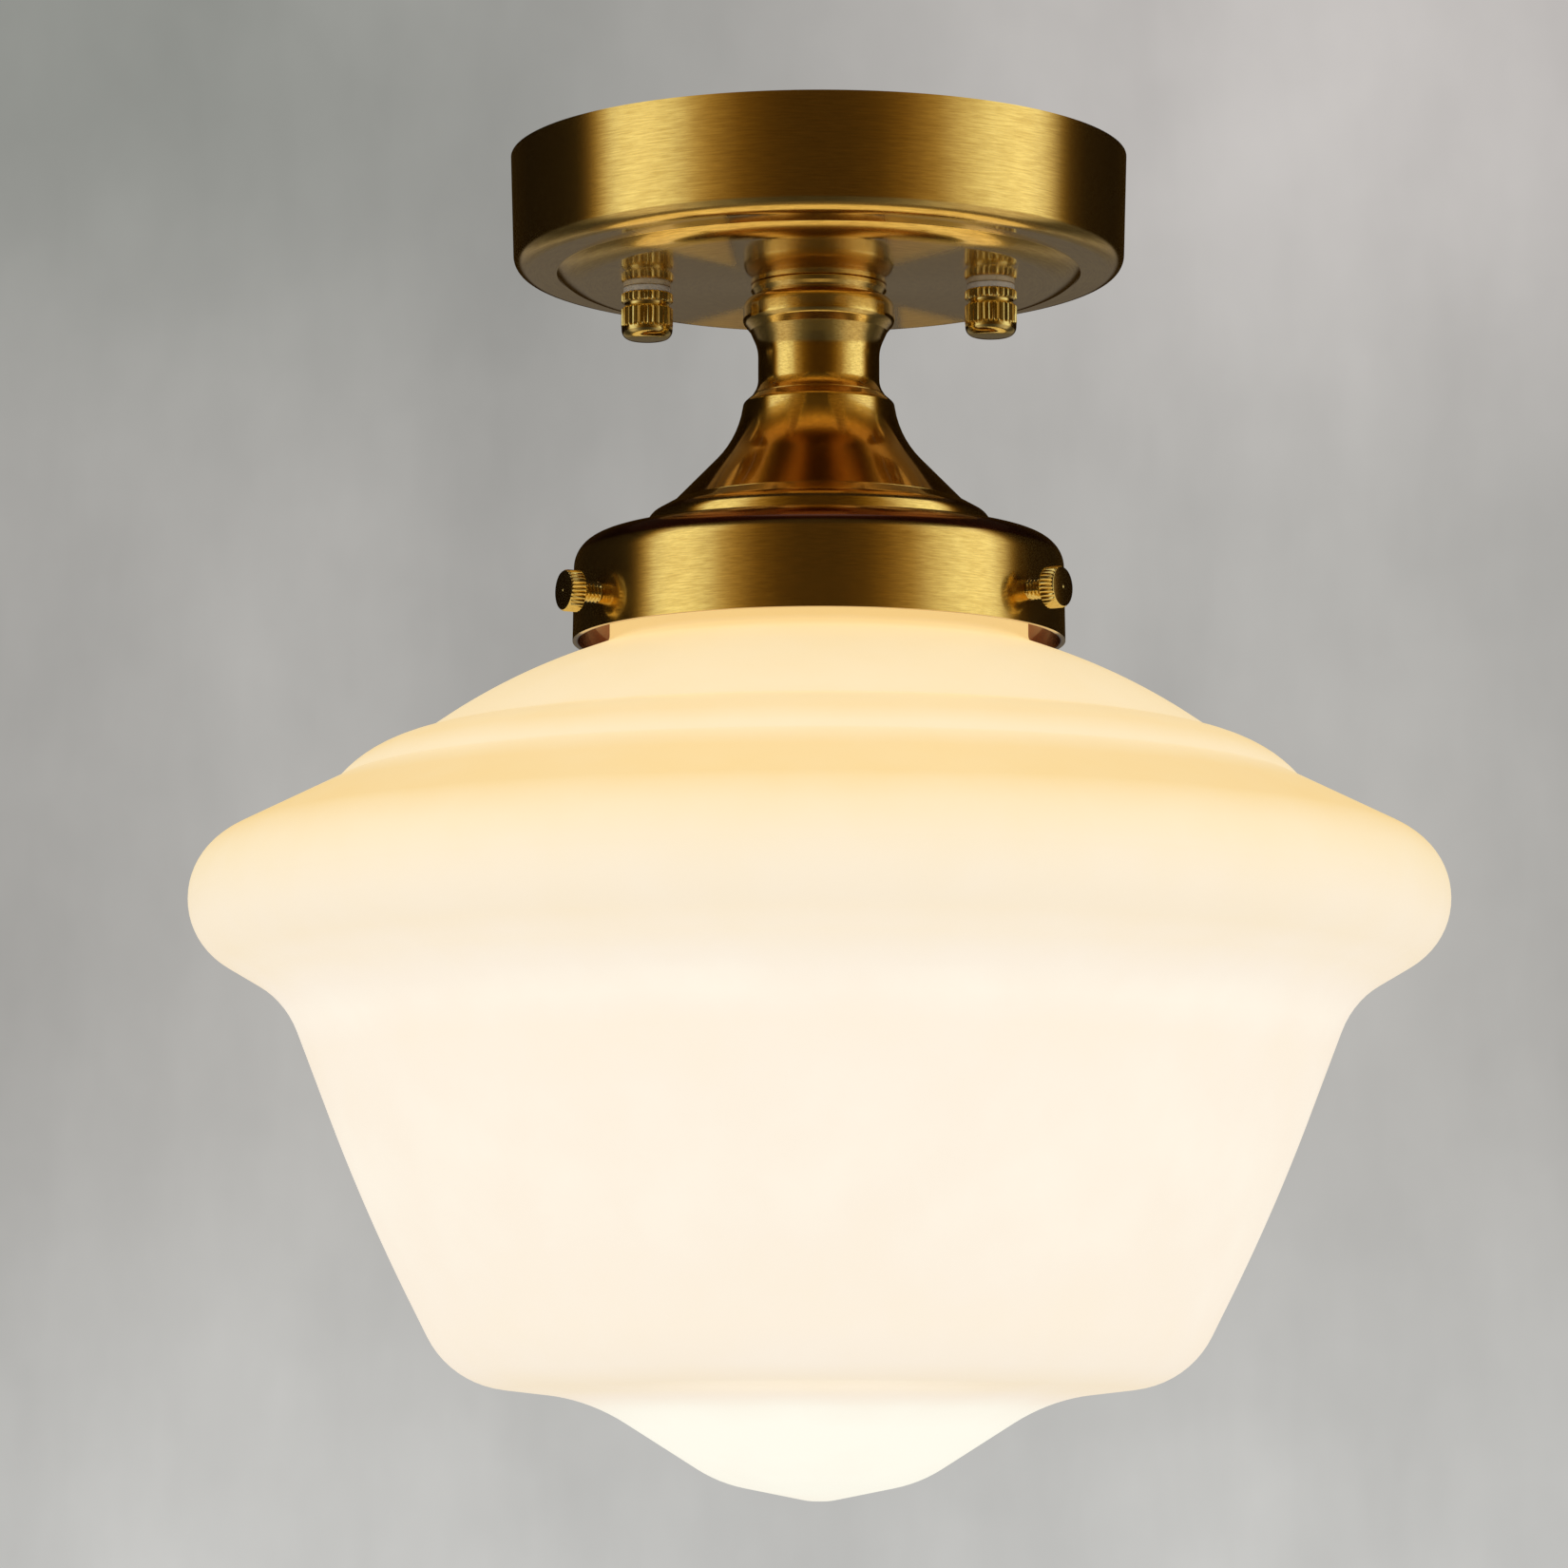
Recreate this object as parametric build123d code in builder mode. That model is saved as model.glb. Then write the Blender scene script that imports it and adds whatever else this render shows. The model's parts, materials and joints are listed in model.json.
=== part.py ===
from build123d import *
import math
import os

# Semi flush ceiling light: a brushed brass canopy, a turned stem, a shade holder
# with three thumb screws, and an opal glass shade round one medium-base bulb.
# Millimetres, +Z up. The origin is the centre of the ceiling plane, so the whole
# light hangs below z = 0 and only the screw heads reach up into the outlet box.

# ---- Driving dimensions -------------------------------------------------------

# Outlet box interface
stud_spacing = 69.85          # mounting screws, 2 3/4 in
box_slot_spacing = 88.9       # outlet box screws, 3 1/2 in
box_slot_length = 9.0
box_slot_width = 4.8
strap_length = 106.0
strap_width = 20.0
strap_thickness = 2.0

# Threads, as plain cylinders of their major size
stud_radius = 2.083           # No. 8
stud_pitch = 0.794            # 32 turns to the inch
nipple_radius = 5.0           # 1/8 lamp pipe
nipple_bore = 3.4
thread_gap = 0.02             # between fixed threaded pieces
running_gap = 0.05            # between a thread and the piece that turns on it

# Canopy
canopy_radius = 62.6
canopy_sheet = 1.0
canopy_ring_depth = 23.7      # outer ring of its lower face
canopy_disc_depth = 26.2      # middle disc, which stands out below the ring
canopy_disc_radius = 50.6

# Stem, from the canopy disc down to the shade holder
neck_foot_depth = 49.0
bell_foot_depth = 71.4
holder_top_depth = 77.8
stem_bore = 5.15

# Shade holder
holder_radius = 49.7
holder_sheet = 1.0
holder_rim_depth = 99.2
thumb_screw_depth = 92.5
thumb_screw_angles = {"front_left": -150, "front_right": -30, "back": 90}

# Glass shade
glass_wall = 3.0
glass_neck_radius = 42.2
glass_lip_radius = 47.0
glass_lip_top = 86.5
glass_tip_depth = 271.4

# Knurled cap nuts
cap_nut_radius = 5.25
cap_nut_height = 9.6
cap_washer_height = 1.2
knurl_ridges = 30

# Lampholder and bulb
socket_mouth_depth = 125.6
bulb_tip_depth = 97.6
bulb_radius = 30.0
bulb_length = 110.0

# Leads
lead_radius = 1.0
lead_bend = 10.5
connector_length = 20.0

# ---- Heights worked out from them ----------------------------------------------

disc_z = -canopy_disc_depth
disc_top_z = disc_z + canopy_sheet
neck_foot_z = -neck_foot_depth
bell_foot_z = -bell_foot_depth
holder_top_z = -holder_top_depth
holder_ceiling_z = holder_top_z - holder_sheet
stud_x = stud_spacing / 2

pipe_nut_height = 3.2
pipe_nut_flats = 14.3
pipe_washer_height = 0.8
pipe_end = 2.3                # pipe that stands out past its top nut
bracket_thickness = 1.6
bracket_top_z = holder_ceiling_z - pipe_nut_height
socket_top_z = bracket_top_z - bracket_thickness
nipple_top_z = disc_top_z + pipe_washer_height + pipe_nut_height + pipe_end

os.makedirs("parts", exist_ok=True)


def save(part, name):
    """Label one finished piece and write it as its own file."""
    part.label = name
    export_step(part, f"parts/{name}.step")


# ---- Ceiling strap ---------------------------------------------------------------

strap_centre_hole = 5.1
ground_screw_x = 18.0
ground_screw_radius = 2.4

with BuildPart() as crossbar:
    with BuildSketch(Plane.XY.offset(-strap_thickness)):
        RectangleRounded(strap_length, strap_width, 4)
        Circle(strap_centre_hole, mode=Mode.SUBTRACT)
        with GridLocations(box_slot_spacing, 0, 2, 1):
            SlotOverall(box_slot_length, box_slot_width, mode=Mode.SUBTRACT)
        with GridLocations(stud_spacing, 0, 2, 1):
            Circle(stud_radius + thread_gap, mode=Mode.SUBTRACT)
        with Locations((ground_screw_x, 0)):
            Circle(ground_screw_radius + thread_gap, mode=Mode.SUBTRACT)
    extrude(amount=strap_thickness)
save(crossbar.part, "crossbar")

# ---- Mounting screws and their lock nuts -------------------------------------------

stud_head_radius = 4.0
stud_head_height = 2.4
stud_tip_z = disc_z - 8.1
stud_recess_width = 1.0
stud_recess_depth = 1.2
stud_nut_flats = 8.7
stud_nut_height = 3.2

for side, sign in {"left": -1, "right": 1}.items():
    axis = Plane(origin=(sign * stud_x, 0, 0))

    # Pan head above the strap, inside the outlet box, and shank down to the cap nut
    with BuildPart() as mounting_screw:
        with BuildSketch(axis):
            Circle(stud_head_radius)
        extrude(amount=stud_head_height)
        fillet(mounting_screw.edges().group_by(Axis.Z)[-1], 1.2)
        with BuildSketch(axis):
            Circle(stud_radius)
        extrude(amount=stud_tip_z)
        chamfer(mounting_screw.edges().group_by(Axis.Z)[0], 0.5)
        with BuildSketch(axis.offset(stud_head_height)):
            Rectangle(2 * stud_head_radius, stud_recess_width)
            Rectangle(stud_recess_width, 2 * stud_head_radius)
            Circle(stud_head_radius - 1.4, mode=Mode.INTERSECT)
        extrude(amount=-stud_recess_depth, mode=Mode.SUBTRACT)
    save(mounting_screw.part, f"mounting_screw_{side}")

    # Hex nut that locks the screw under the strap
    with BuildPart() as lock_nut:
        with BuildSketch(axis.offset(-strap_thickness)):
            RegularPolygon(stud_nut_flats / 2, 6, major_radius=False)
            Circle(stud_radius + thread_gap, mode=Mode.SUBTRACT)
        extrude(amount=-stud_nut_height)
    save(lock_nut.part, f"lock_nut_{side}")

# ---- Ground screw --------------------------------------------------------------------

ground_flange_radius = 5.2
ground_flange_height = 0.8
ground_head_flats = 7.9
ground_head_height = 2.8
ground_shank_length = 5.8
ground_head_z = -strap_thickness - ground_flange_height

with BuildPart() as ground_screw:
    with BuildSketch(Plane(origin=(ground_screw_x, 0, ground_head_z))):
        Circle(ground_flange_radius)
    extrude(amount=ground_flange_height)
    with BuildSketch(Plane(origin=(ground_screw_x, 0, ground_head_z))):
        RegularPolygon(ground_head_flats / 2, 6, major_radius=False)
    extrude(amount=-ground_head_height)
    with BuildSketch(Plane(origin=(ground_screw_x, 0, ground_head_z))):
        Circle(ground_screw_radius)
    extrude(amount=ground_shank_length)
save(ground_screw.part, "ground_screw")

# ---- Canopy ----------------------------------------------------------------------------

# A spun pan, open to the ceiling. Its wall draws in a little towards the rounded
# bottom corner, and a soft rounded step carries the middle disc below the outer ring.
canopy_step_width = 2.6
canopy_step_round = 8.0
canopy_corner_round = 3.4
canopy_outline = [
    (0, disc_z),
    (canopy_disc_radius, disc_z),
    (canopy_disc_radius + canopy_step_width, -canopy_ring_depth),
    (canopy_radius - 0.7, -canopy_ring_depth),
    (canopy_radius, 0),
]

with BuildPart() as canopy:
    with BuildSketch(Plane.XZ):
        with BuildLine():
            spinning = FilletPolyline(canopy_outline, radius=[canopy_step_round, 0.4, canopy_corner_round])
            offset(spinning, amount=canopy_sheet, side=Side.LEFT)
        make_face()
    revolve(axis=Axis.Z)
    split(bisect_by=Plane.XY, keep=Keep.BOTTOM)
    with BuildSketch(Plane.XY.offset(disc_z)):
        Circle(nipple_radius + 0.3)
        with GridLocations(stud_spacing, 0, 2, 1):
            Circle(stud_radius + 0.3)
    extrude(amount=2 * canopy_sheet, both=True, mode=Mode.SUBTRACT)
save(canopy.part, "canopy")

# ---- Knurled cap nuts and their washers ---------------------------------------------------

nut_top_z = disc_z - cap_washer_height
nut_hole_depth = 7.4
nut_collar_height = 2.0
nut_groove_height = 1.0
nut_grip_height = 4.0
nut_end_round = 2.2
nut_groove_top_z = nut_top_z - nut_collar_height
nut_grip_top_z = nut_groove_top_z - nut_groove_height
nut_grip_foot_z = nut_grip_top_z - nut_grip_height
knurl_groove = 0.62


def knurled_disc(radius, ridges, groove):
    """A round outline with V grooves cut evenly into its rim."""
    with BuildSketch() as outline:
        Circle(radius)
        with PolarLocations(radius, ridges):
            Rectangle(groove, groove, rotation=45, mode=Mode.SUBTRACT)
    return outline.sketch


nut_knurl = knurled_disc(cap_nut_radius, knurl_ridges, knurl_groove)

for side, sign in {"left": -1, "right": 1}.items():
    axis = Plane(origin=(sign * stud_x, 0, 0))

    with BuildPart() as cap_washer:
        with BuildSketch(axis.offset(disc_z)):
            Circle(cap_nut_radius - 0.45)
            Circle(stud_radius + 0.15, mode=Mode.SUBTRACT)
        extrude(amount=-cap_washer_height)
    save(cap_washer.part, f"cap_washer_{side}")

    # Short knurled collar, plain groove, long knurled grip and a shallow domed end
    with BuildPart() as cap_nut:
        with BuildSketch(axis.offset(nut_top_z)):
            add(nut_knurl)
        extrude(amount=-nut_collar_height)
        with BuildSketch(axis.offset(nut_groove_top_z)):
            Circle(cap_nut_radius - 0.7)
        extrude(amount=-nut_groove_height)
        with BuildSketch(axis.offset(nut_grip_top_z)):
            add(nut_knurl)
        extrude(amount=-nut_grip_height)
        with BuildSketch(axis.offset(nut_grip_foot_z)):
            Circle(cap_nut_radius)
        extrude(amount=nut_top_z - cap_nut_height - nut_grip_foot_z)
        fillet(cap_nut.edges().group_by(Axis.Z)[0], nut_end_round)
        with BuildSketch(axis.offset(nut_top_z)):
            Circle(stud_radius + running_gap)
        extrude(amount=-nut_hole_depth, mode=Mode.SUBTRACT)
    save(cap_nut.part, f"cap_nut_{side}")

# ---- Stem: lamp pipe, its nuts and the three turned pieces stacked on it ---------------------

with BuildPart() as nipple:
    with BuildSketch(Plane.XY.offset(socket_top_z)):
        Circle(nipple_radius)
        Circle(nipple_bore, mode=Mode.SUBTRACT)
    extrude(amount=nipple_top_z - socket_top_z)
    chamfer(nipple.edges().group_by(Axis.Z)[-1].sort_by(SortBy.LENGTH)[-1], 0.4)
save(nipple.part, "nipple")

pipe_washer_radius = 9.5

with BuildPart() as nipple_washer:
    with BuildSketch(Plane.XY.offset(disc_top_z)):
        Circle(pipe_washer_radius)
        Circle(nipple_radius + 0.2, mode=Mode.SUBTRACT)
    extrude(amount=pipe_washer_height)
save(nipple_washer.part, "nipple_washer")

pipe_nut_bases = {"nipple_nut_top": disc_top_z + pipe_washer_height, "nipple_nut_bottom": bracket_top_z}
for name, base_z in pipe_nut_bases.items():
    with BuildPart() as pipe_nut:
        with BuildSketch(Plane.XY.offset(base_z)):
            RegularPolygon(pipe_nut_flats / 2, 6, major_radius=False)
            Circle(nipple_radius + thread_gap, mode=Mode.SUBTRACT)
        extrude(amount=pipe_nut_height)
    save(pipe_nut.part, name)

# Turned neck: collar, V groove, bulge, crease, hollow waist and a flared foot
neck_collar_radius = 13.8
neck_bulge_radius = 15.4
neck_waist_radius = 12.3
neck_foot_radius = 13.6

with BuildPart() as stem_neck:
    with BuildSketch(Plane.XZ):
        with BuildLine():
            FilletPolyline(
                (stem_bore, disc_z),
                (neck_collar_radius, disc_z),
                (neck_collar_radius, disc_z - 1.1),
                (neck_collar_radius - 0.6, disc_z - 2.2),
                (neck_bulge_radius, disc_z - 3.4),
                (neck_bulge_radius, disc_z - 7.6),
                (neck_bulge_radius - 1.5, disc_z - 9.4),
                (neck_waist_radius, disc_z - 13.0),
                (neck_waist_radius, neck_foot_z + 2.0),
                (neck_foot_radius, neck_foot_z),
                (stem_bore, neck_foot_z),
                radius=[0, 0.3, 0, 0, 2.6, 2.2, 0, 8.0, 5.0, 0, 0],
                close=True,
            )
        make_face()
    revolve(axis=Axis.Z)
save(stem_neck.part, "stem_neck")

# Bell: rounded shoulder, then a hollow flare that ends in a thin rim
bell_waist_radius = 16.4
bell_foot_radius = 29.9
bell_hollow_radius = 12.2
bell_roof_z = neck_foot_z - 4.0

with BuildPart() as stem_bell:
    with BuildSketch(Plane.XZ):
        with BuildLine():
            FilletPolyline(
                (stem_bore, neck_foot_z),
                (neck_foot_radius, neck_foot_z),
                (neck_foot_radius + 1.7, neck_foot_z - 1.5),
                (bell_waist_radius, bell_foot_z + 13.7),
                (bell_foot_radius, bell_foot_z),
                (bell_foot_radius - 2.7, bell_foot_z),
                (bell_waist_radius - 1.4, bell_foot_z + 13.0),
                (bell_hollow_radius, bell_roof_z),
                (stem_bore, bell_roof_z),
                radius=[0, 0, 1.4, 20, 0, 0, 14, 1.0, 0],
                close=True,
            )
        make_face()
    revolve(axis=Axis.Z)
save(stem_bell.part, "stem_bell")

# Base ring: sloping shoulder over an upright side
base_ring_radius = 34.8
base_ring_shoulder = 2.6

with BuildPart() as base_ring:
    with BuildSketch(Plane.XZ):
        with BuildLine():
            FilletPolyline(
                (stem_bore, bell_foot_z),
                (bell_foot_radius + 0.3, bell_foot_z),
                (base_ring_radius, bell_foot_z - base_ring_shoulder),
                (base_ring_radius, holder_top_z),
                (stem_bore, holder_top_z),
                radius=[0, 0.3, 3.0, 0, 0],
                close=True,
            )
        make_face()
    revolve(axis=Axis.Z)
save(base_ring.part, "base_ring")

# ---- Shade holder ---------------------------------------------------------------------------

# A drawn cup: nearly flat top, round shoulder and a deep skirt
holder_flat_radius = 35.5
holder_top_fall = 0.9
holder_shoulder_round = 6.0

holder_outline = [
    (0, holder_top_z),
    (holder_flat_radius, holder_top_z),
    (holder_radius - 0.3, holder_top_z - holder_top_fall),
    (holder_radius, -holder_rim_depth),
]

with BuildPart() as shade_holder:
    with BuildSketch(Plane.XZ):
        with BuildLine():
            cup = FilletPolyline(holder_outline, radius=[3.0, holder_shoulder_round])
            offset(cup, amount=holder_sheet, side=Side.RIGHT)
        make_face()
    revolve(axis=Axis.Z)
    with BuildSketch(Plane.XY.offset(holder_top_z)):
        Circle(nipple_radius + 0.3)
    extrude(amount=2 * holder_sheet, both=True, mode=Mode.SUBTRACT)
    for angle in thumb_screw_angles.values():
        outward = Vector(1, 0, 0).rotate(Axis.Z, angle)
        with BuildSketch(Plane(origin=(0, 0, -thumb_screw_depth), z_dir=outward)):
            Circle(stud_radius + running_gap)
        extrude(amount=holder_radius + 5, mode=Mode.SUBTRACT)
save(shade_holder.part, "shade_holder")

# ---- Thumb screws ------------------------------------------------------------------------------

# Each reaches through the holder's wall to just short of the glass neck, under its lip.
screw_tip_radius = glass_neck_radius + 0.15
screw_head_inner = holder_radius + 4.0
screw_head_thickness = 3.0
screw_head_radius = 4.15
screw_head_rim = 0.3          # width and height of the head's bevelled rim
head_knurl = knurled_disc(screw_head_radius, knurl_ridges, 0.45)

for name, angle in thumb_screw_angles.items():
    outward = Vector(1, 0, 0).rotate(Axis.Z, angle)
    axis = Plane(origin=(0, 0, -thumb_screw_depth), z_dir=outward)
    with BuildPart() as thumb_screw:
        with BuildSketch(axis.offset(screw_tip_radius)):
            Circle(stud_radius)
        extrude(amount=screw_head_inner - screw_tip_radius)
        with BuildSketch(axis.offset(screw_head_inner)):
            add(head_knurl)
        extrude(amount=screw_head_thickness)
        with BuildSketch(axis.offset(screw_head_inner + screw_head_thickness)):
            Circle(screw_head_radius - screw_head_rim)
        extrude(amount=screw_head_rim, taper=45)
    save(thumb_screw.part, f"thumb_screw_{name}")

# ---- Glass shade ---------------------------------------------------------------------------------

# Outer outline from the neck down to the tip: each corner's radius, its drop below
# the lip's top, and its own round. Two pressed beads sit between the neck and the
# wide rolled shoulder.
glass_corners = [
    (glass_neck_radius, 13.6, 3.0),      # foot of the neck
    (64.6, 21.9, 120.0),                 # upper dome
    (81.3, 33.6, 1.2),                   # first crease
    (91.1, 35.3, 24.0),                  # bead
    (97.2, 42.4, 1.2),                   # second crease
    (126.2, 56.8, 14.2),                 # shoulder, widest part
    (126.2, 74.0, 14.2),
    (106.8, 85.4, 20.0),                 # waist under the shoulder
    (90.6, 127.5, 400.0),                # long tapering bowl
    (73.4, 161.6, 19.0),                 # bottom corner
    (46.0, 164.8, 38.0),
    (20.0, 181.3, 28.0),                 # pointed drop in the middle
    (2.0, glass_tip_depth - glass_lip_top, 12.0),
]
glass_points = [(radius, -glass_lip_top - drop) for radius, drop, _ in glass_corners]
glass_rounds = [corner_round for _, _, corner_round in glass_corners]
lip_bottom_z = -thumb_screw_depth + stud_radius + 0.15

with BuildPart() as glass_shade:
    with BuildSketch(Plane.XZ):
        with BuildLine():
            blown = FilletPolyline(
                (glass_neck_radius, -glass_lip_top),
                *glass_points,
                (0, -glass_tip_depth),
                radius=glass_rounds,
            )
            offset(blown, amount=glass_wall, side=Side.RIGHT)
        make_face()
        # Lip that hangs on the thumb screws
        with BuildLine():
            FilletPolyline(
                (glass_neck_radius - glass_wall, -glass_lip_top),
                (glass_lip_radius, -glass_lip_top),
                (glass_lip_radius, lip_bottom_z),
                (glass_neck_radius - glass_wall, lip_bottom_z),
                radius=[0, 1.4, 1.4, 0],
                close=True,
            )
        make_face()
    revolve(axis=Axis.Z)
save(glass_shade.part, "glass_shade")

# ---- Lampholder --------------------------------------------------------------------------------------

bracket_screw_x = 12.5
bracket_screw_radius = 1.5
bracket_screw_bite = 7.5      # length in the porcelain
bracket_screw_hole = 8.0
bracket_head_radius = 2.9
bracket_head_height = 1.9
bracket_length = 35.0
bracket_width = 13.0
well_radius = 7.5
well_depth = 5.0
socket_floor_z = socket_top_z - 12.2
socket_top_radius = 17.5
socket_rim_radius = 20.8
socket_rim_height = 5.5
socket_mouth_z = -socket_mouth_depth
socket_bore = 14.1
contact_hole = 1.6

with BuildPart() as lampholder_bracket:
    with BuildSketch(Plane.XY.offset(socket_top_z)):
        SlotOverall(bracket_length, bracket_width)
        Circle(nipple_radius + thread_gap, mode=Mode.SUBTRACT)
        with GridLocations(2 * bracket_screw_x, 0, 2, 1):
            Circle(bracket_screw_radius + 0.2, mode=Mode.SUBTRACT)
    extrude(amount=bracket_thickness)
save(lampholder_bracket.part, "lampholder_bracket")

# Glazed porcelain body with a wire well on top and the bulb's bore below
with BuildPart() as lampholder_body:
    with BuildSketch(Plane.XZ):
        with BuildLine():
            FilletPolyline(
                (well_radius, socket_top_z),
                (socket_top_radius, socket_top_z),
                (socket_top_radius + 1.1, socket_top_z - 10),
                (socket_rim_radius - 1.2, socket_mouth_z + socket_rim_height + 1.5),
                (socket_rim_radius, socket_mouth_z + socket_rim_height),
                (socket_rim_radius, socket_mouth_z),
                (socket_bore, socket_mouth_z),
                (socket_bore, socket_floor_z),
                (contact_hole, socket_floor_z),
                (contact_hole, socket_top_z - well_depth),
                (well_radius, socket_top_z - well_depth),
                radius=[0, 2.0, 4.0, 0.8, 0.8, 1.2, 0.6, 0, 0, 0, 0],
                close=True,
            )
        make_face()
    revolve(axis=Axis.Z)
    with BuildSketch(Plane.XY.offset(socket_top_z)):
        with GridLocations(2 * bracket_screw_x, 0, 2, 1):
            Circle(bracket_screw_radius + thread_gap)
    extrude(amount=-bracket_screw_hole, mode=Mode.SUBTRACT)
save(lampholder_body.part, "lampholder_body")

# Two screws that hold the bracket on the porcelain
with BuildPart() as lampholder_screws:
    with BuildSketch(Plane.XY.offset(bracket_top_z)):
        with GridLocations(2 * bracket_screw_x, 0, 2, 1):
            Circle(bracket_head_radius)
    extrude(amount=bracket_head_height)
    fillet(lampholder_screws.edges().group_by(Axis.Z)[-1], 1.0)
    with BuildSketch(Plane.XY.offset(bracket_top_z)):
        with GridLocations(2 * bracket_screw_x, 0, 2, 1):
            Circle(bracket_screw_radius)
    extrude(amount=-bracket_thickness - bracket_screw_bite)
save(lampholder_screws.part, "lampholder_screws")

shell_wall = 0.4
shell_radius = socket_bore - thread_gap
shell_floor_hole = 7.0
shell_foot_z = socket_mouth_z + 1.5

with BuildPart() as lampholder_shell:
    with BuildSketch(Plane.XY.offset(socket_floor_z)):
        Circle(shell_radius)
        Circle(shell_floor_hole, mode=Mode.SUBTRACT)
    extrude(amount=-shell_wall)
    with BuildSketch(Plane.XY.offset(socket_floor_z)):
        Circle(shell_radius)
        Circle(shell_radius - shell_wall, mode=Mode.SUBTRACT)
    extrude(amount=shell_foot_z - socket_floor_z)
save(lampholder_shell.part, "lampholder_shell")

# Centre contact: a rivet through the porcelain floor with a sprung button under it
contact_tip_z = -bulb_tip_depth + 0.15
contact_button_radius = 4.6
contact_button_height = 0.7
contact_tip_radius = 2.2

with BuildPart() as lampholder_contact:
    with BuildSketch(Plane.XZ):
        with BuildLine():
            Polyline(
                (0, socket_top_z - well_depth),
                (contact_hole - thread_gap, socket_top_z - well_depth),
                (contact_hole - thread_gap, socket_floor_z),
                (contact_button_radius, socket_floor_z),
                (contact_button_radius, socket_floor_z - contact_button_height),
                (contact_tip_radius, contact_tip_z),
                (0, contact_tip_z),
                close=True,
            )
        make_face()
    revolve(axis=Axis.Z)
save(lampholder_contact.part, "lampholder_contact")

# ---- Bulb ------------------------------------------------------------------------------------------

bulb_tip_z = -bulb_tip_depth
bulb_end_z = bulb_tip_z - bulb_length
cap_radius = 13.05
cap_wall = 0.35
cap_foot_z = bulb_tip_z - 26
globe_neck = cap_radius - cap_wall - 0.2
globe_wall = 0.8
globe_top_z = bulb_tip_z - 12

bulb_contact_radius = 4.6
bulb_contact_height = 1.2
insulator_radius = 9.0
insulator_foot = 6.0
insulator_top_z = bulb_tip_z - bulb_contact_height

with BuildPart() as bulb_contact:
    with BuildSketch(Plane.XY.offset(insulator_top_z)):
        Circle(bulb_contact_radius)
    extrude(amount=bulb_contact_height)
    fillet(bulb_contact.edges().group_by(Axis.Z)[-1], 1.0)
save(bulb_contact.part, "bulb_contact")

with BuildPart() as bulb_insulator:
    with BuildSketch(Plane.XZ):
        with BuildLine():
            Polyline(
                (0, insulator_top_z),
                (bulb_contact_radius + 0.6, insulator_top_z),
                (insulator_radius, insulator_top_z - 3.0),
                (insulator_radius, bulb_tip_z - insulator_foot),
                (0, bulb_tip_z - insulator_foot),
                close=True,
            )
        make_face()
    revolve(axis=Axis.Z)
save(bulb_insulator.part, "bulb_insulator")

# Screw cap, open at the foot where the glass neck is cemented in
with BuildPart() as bulb_cap:
    with BuildSketch(Plane.XZ):
        with BuildLine():
            Polyline(
                (insulator_radius, bulb_tip_z - 4.4),
                (11.6, bulb_tip_z - 6.4),
                (cap_radius, bulb_tip_z - 8.4),
                (cap_radius, cap_foot_z),
                (cap_radius - cap_wall, cap_foot_z),
                (cap_radius - cap_wall, bulb_tip_z - 8.6),
                (11.4, bulb_tip_z - 6.8),
                (insulator_radius, bulb_tip_z - 4.9),
                close=True,
            )
        make_face()
    revolve(axis=Axis.Z)
save(bulb_cap.part, "bulb_cap")

with BuildPart() as bulb_globe:
    with BuildSketch(Plane.XZ):
        with BuildLine():
            envelope = FilletPolyline(
                (globe_neck, globe_top_z),
                (globe_neck, cap_foot_z - 2.5),
                (bulb_radius, bulb_end_z + 44),
                (bulb_radius, bulb_end_z),
                (0, bulb_end_z),
                radius=[12, 55, bulb_radius - 0.01],
            )
            offset(envelope, amount=globe_wall, side=Side.RIGHT)
        make_face()
    revolve(axis=Axis.Z)
save(bulb_globe.part, "bulb_globe")

# Glass mount inside the envelope, with the filament bowed below it
mount_tip_z = globe_top_z - 38
mount_radius = globe_neck - globe_wall
filament_z = mount_tip_z - 20
filament_reach = 12.0
filament_leg = 1.6
filament_radius = 0.35

with BuildPart() as bulb_mount:
    with BuildSketch(Plane.XZ):
        with BuildLine():
            FilletPolyline(
                (0, globe_top_z),
                (mount_radius, globe_top_z),
                (mount_radius, globe_top_z - 1.5),
                (4.0, globe_top_z - 10),
                (2.6, mount_tip_z),
                (0, mount_tip_z),
                radius=[0, 0, 0.5, 5, 0.5, 0],
                close=True,
            )
        make_face()
    revolve(axis=Axis.Z)
save(bulb_mount.part, "bulb_mount")

with BuildPart() as bulb_filament:
    with BuildLine():
        bow = FilletPolyline(
            (-filament_leg, 0, mount_tip_z),
            (-filament_leg, 0, mount_tip_z - 3),
            (-filament_reach, 0, filament_z),
            (filament_reach, 0, filament_z),
            (filament_leg, 0, mount_tip_z - 3),
            (filament_leg, 0, mount_tip_z),
            radius=[2, 4, 4, 2],
        )
    with BuildSketch(Plane(origin=bow @ 0, z_dir=bow % 0)):
        Circle(filament_radius)
    sweep()
save(bulb_filament.part, "bulb_filament")

# ---- Leads from the lampholder, up the pipe and into the canopy -------------------------------------

lead_foot_z = socket_top_z - well_depth
lead_run_z = -6.5
connector_start = 22.0
connector_mouth_radius = 5.2
connector_end_radius = 3.6
connector_bore_depth = 8.0

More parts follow.
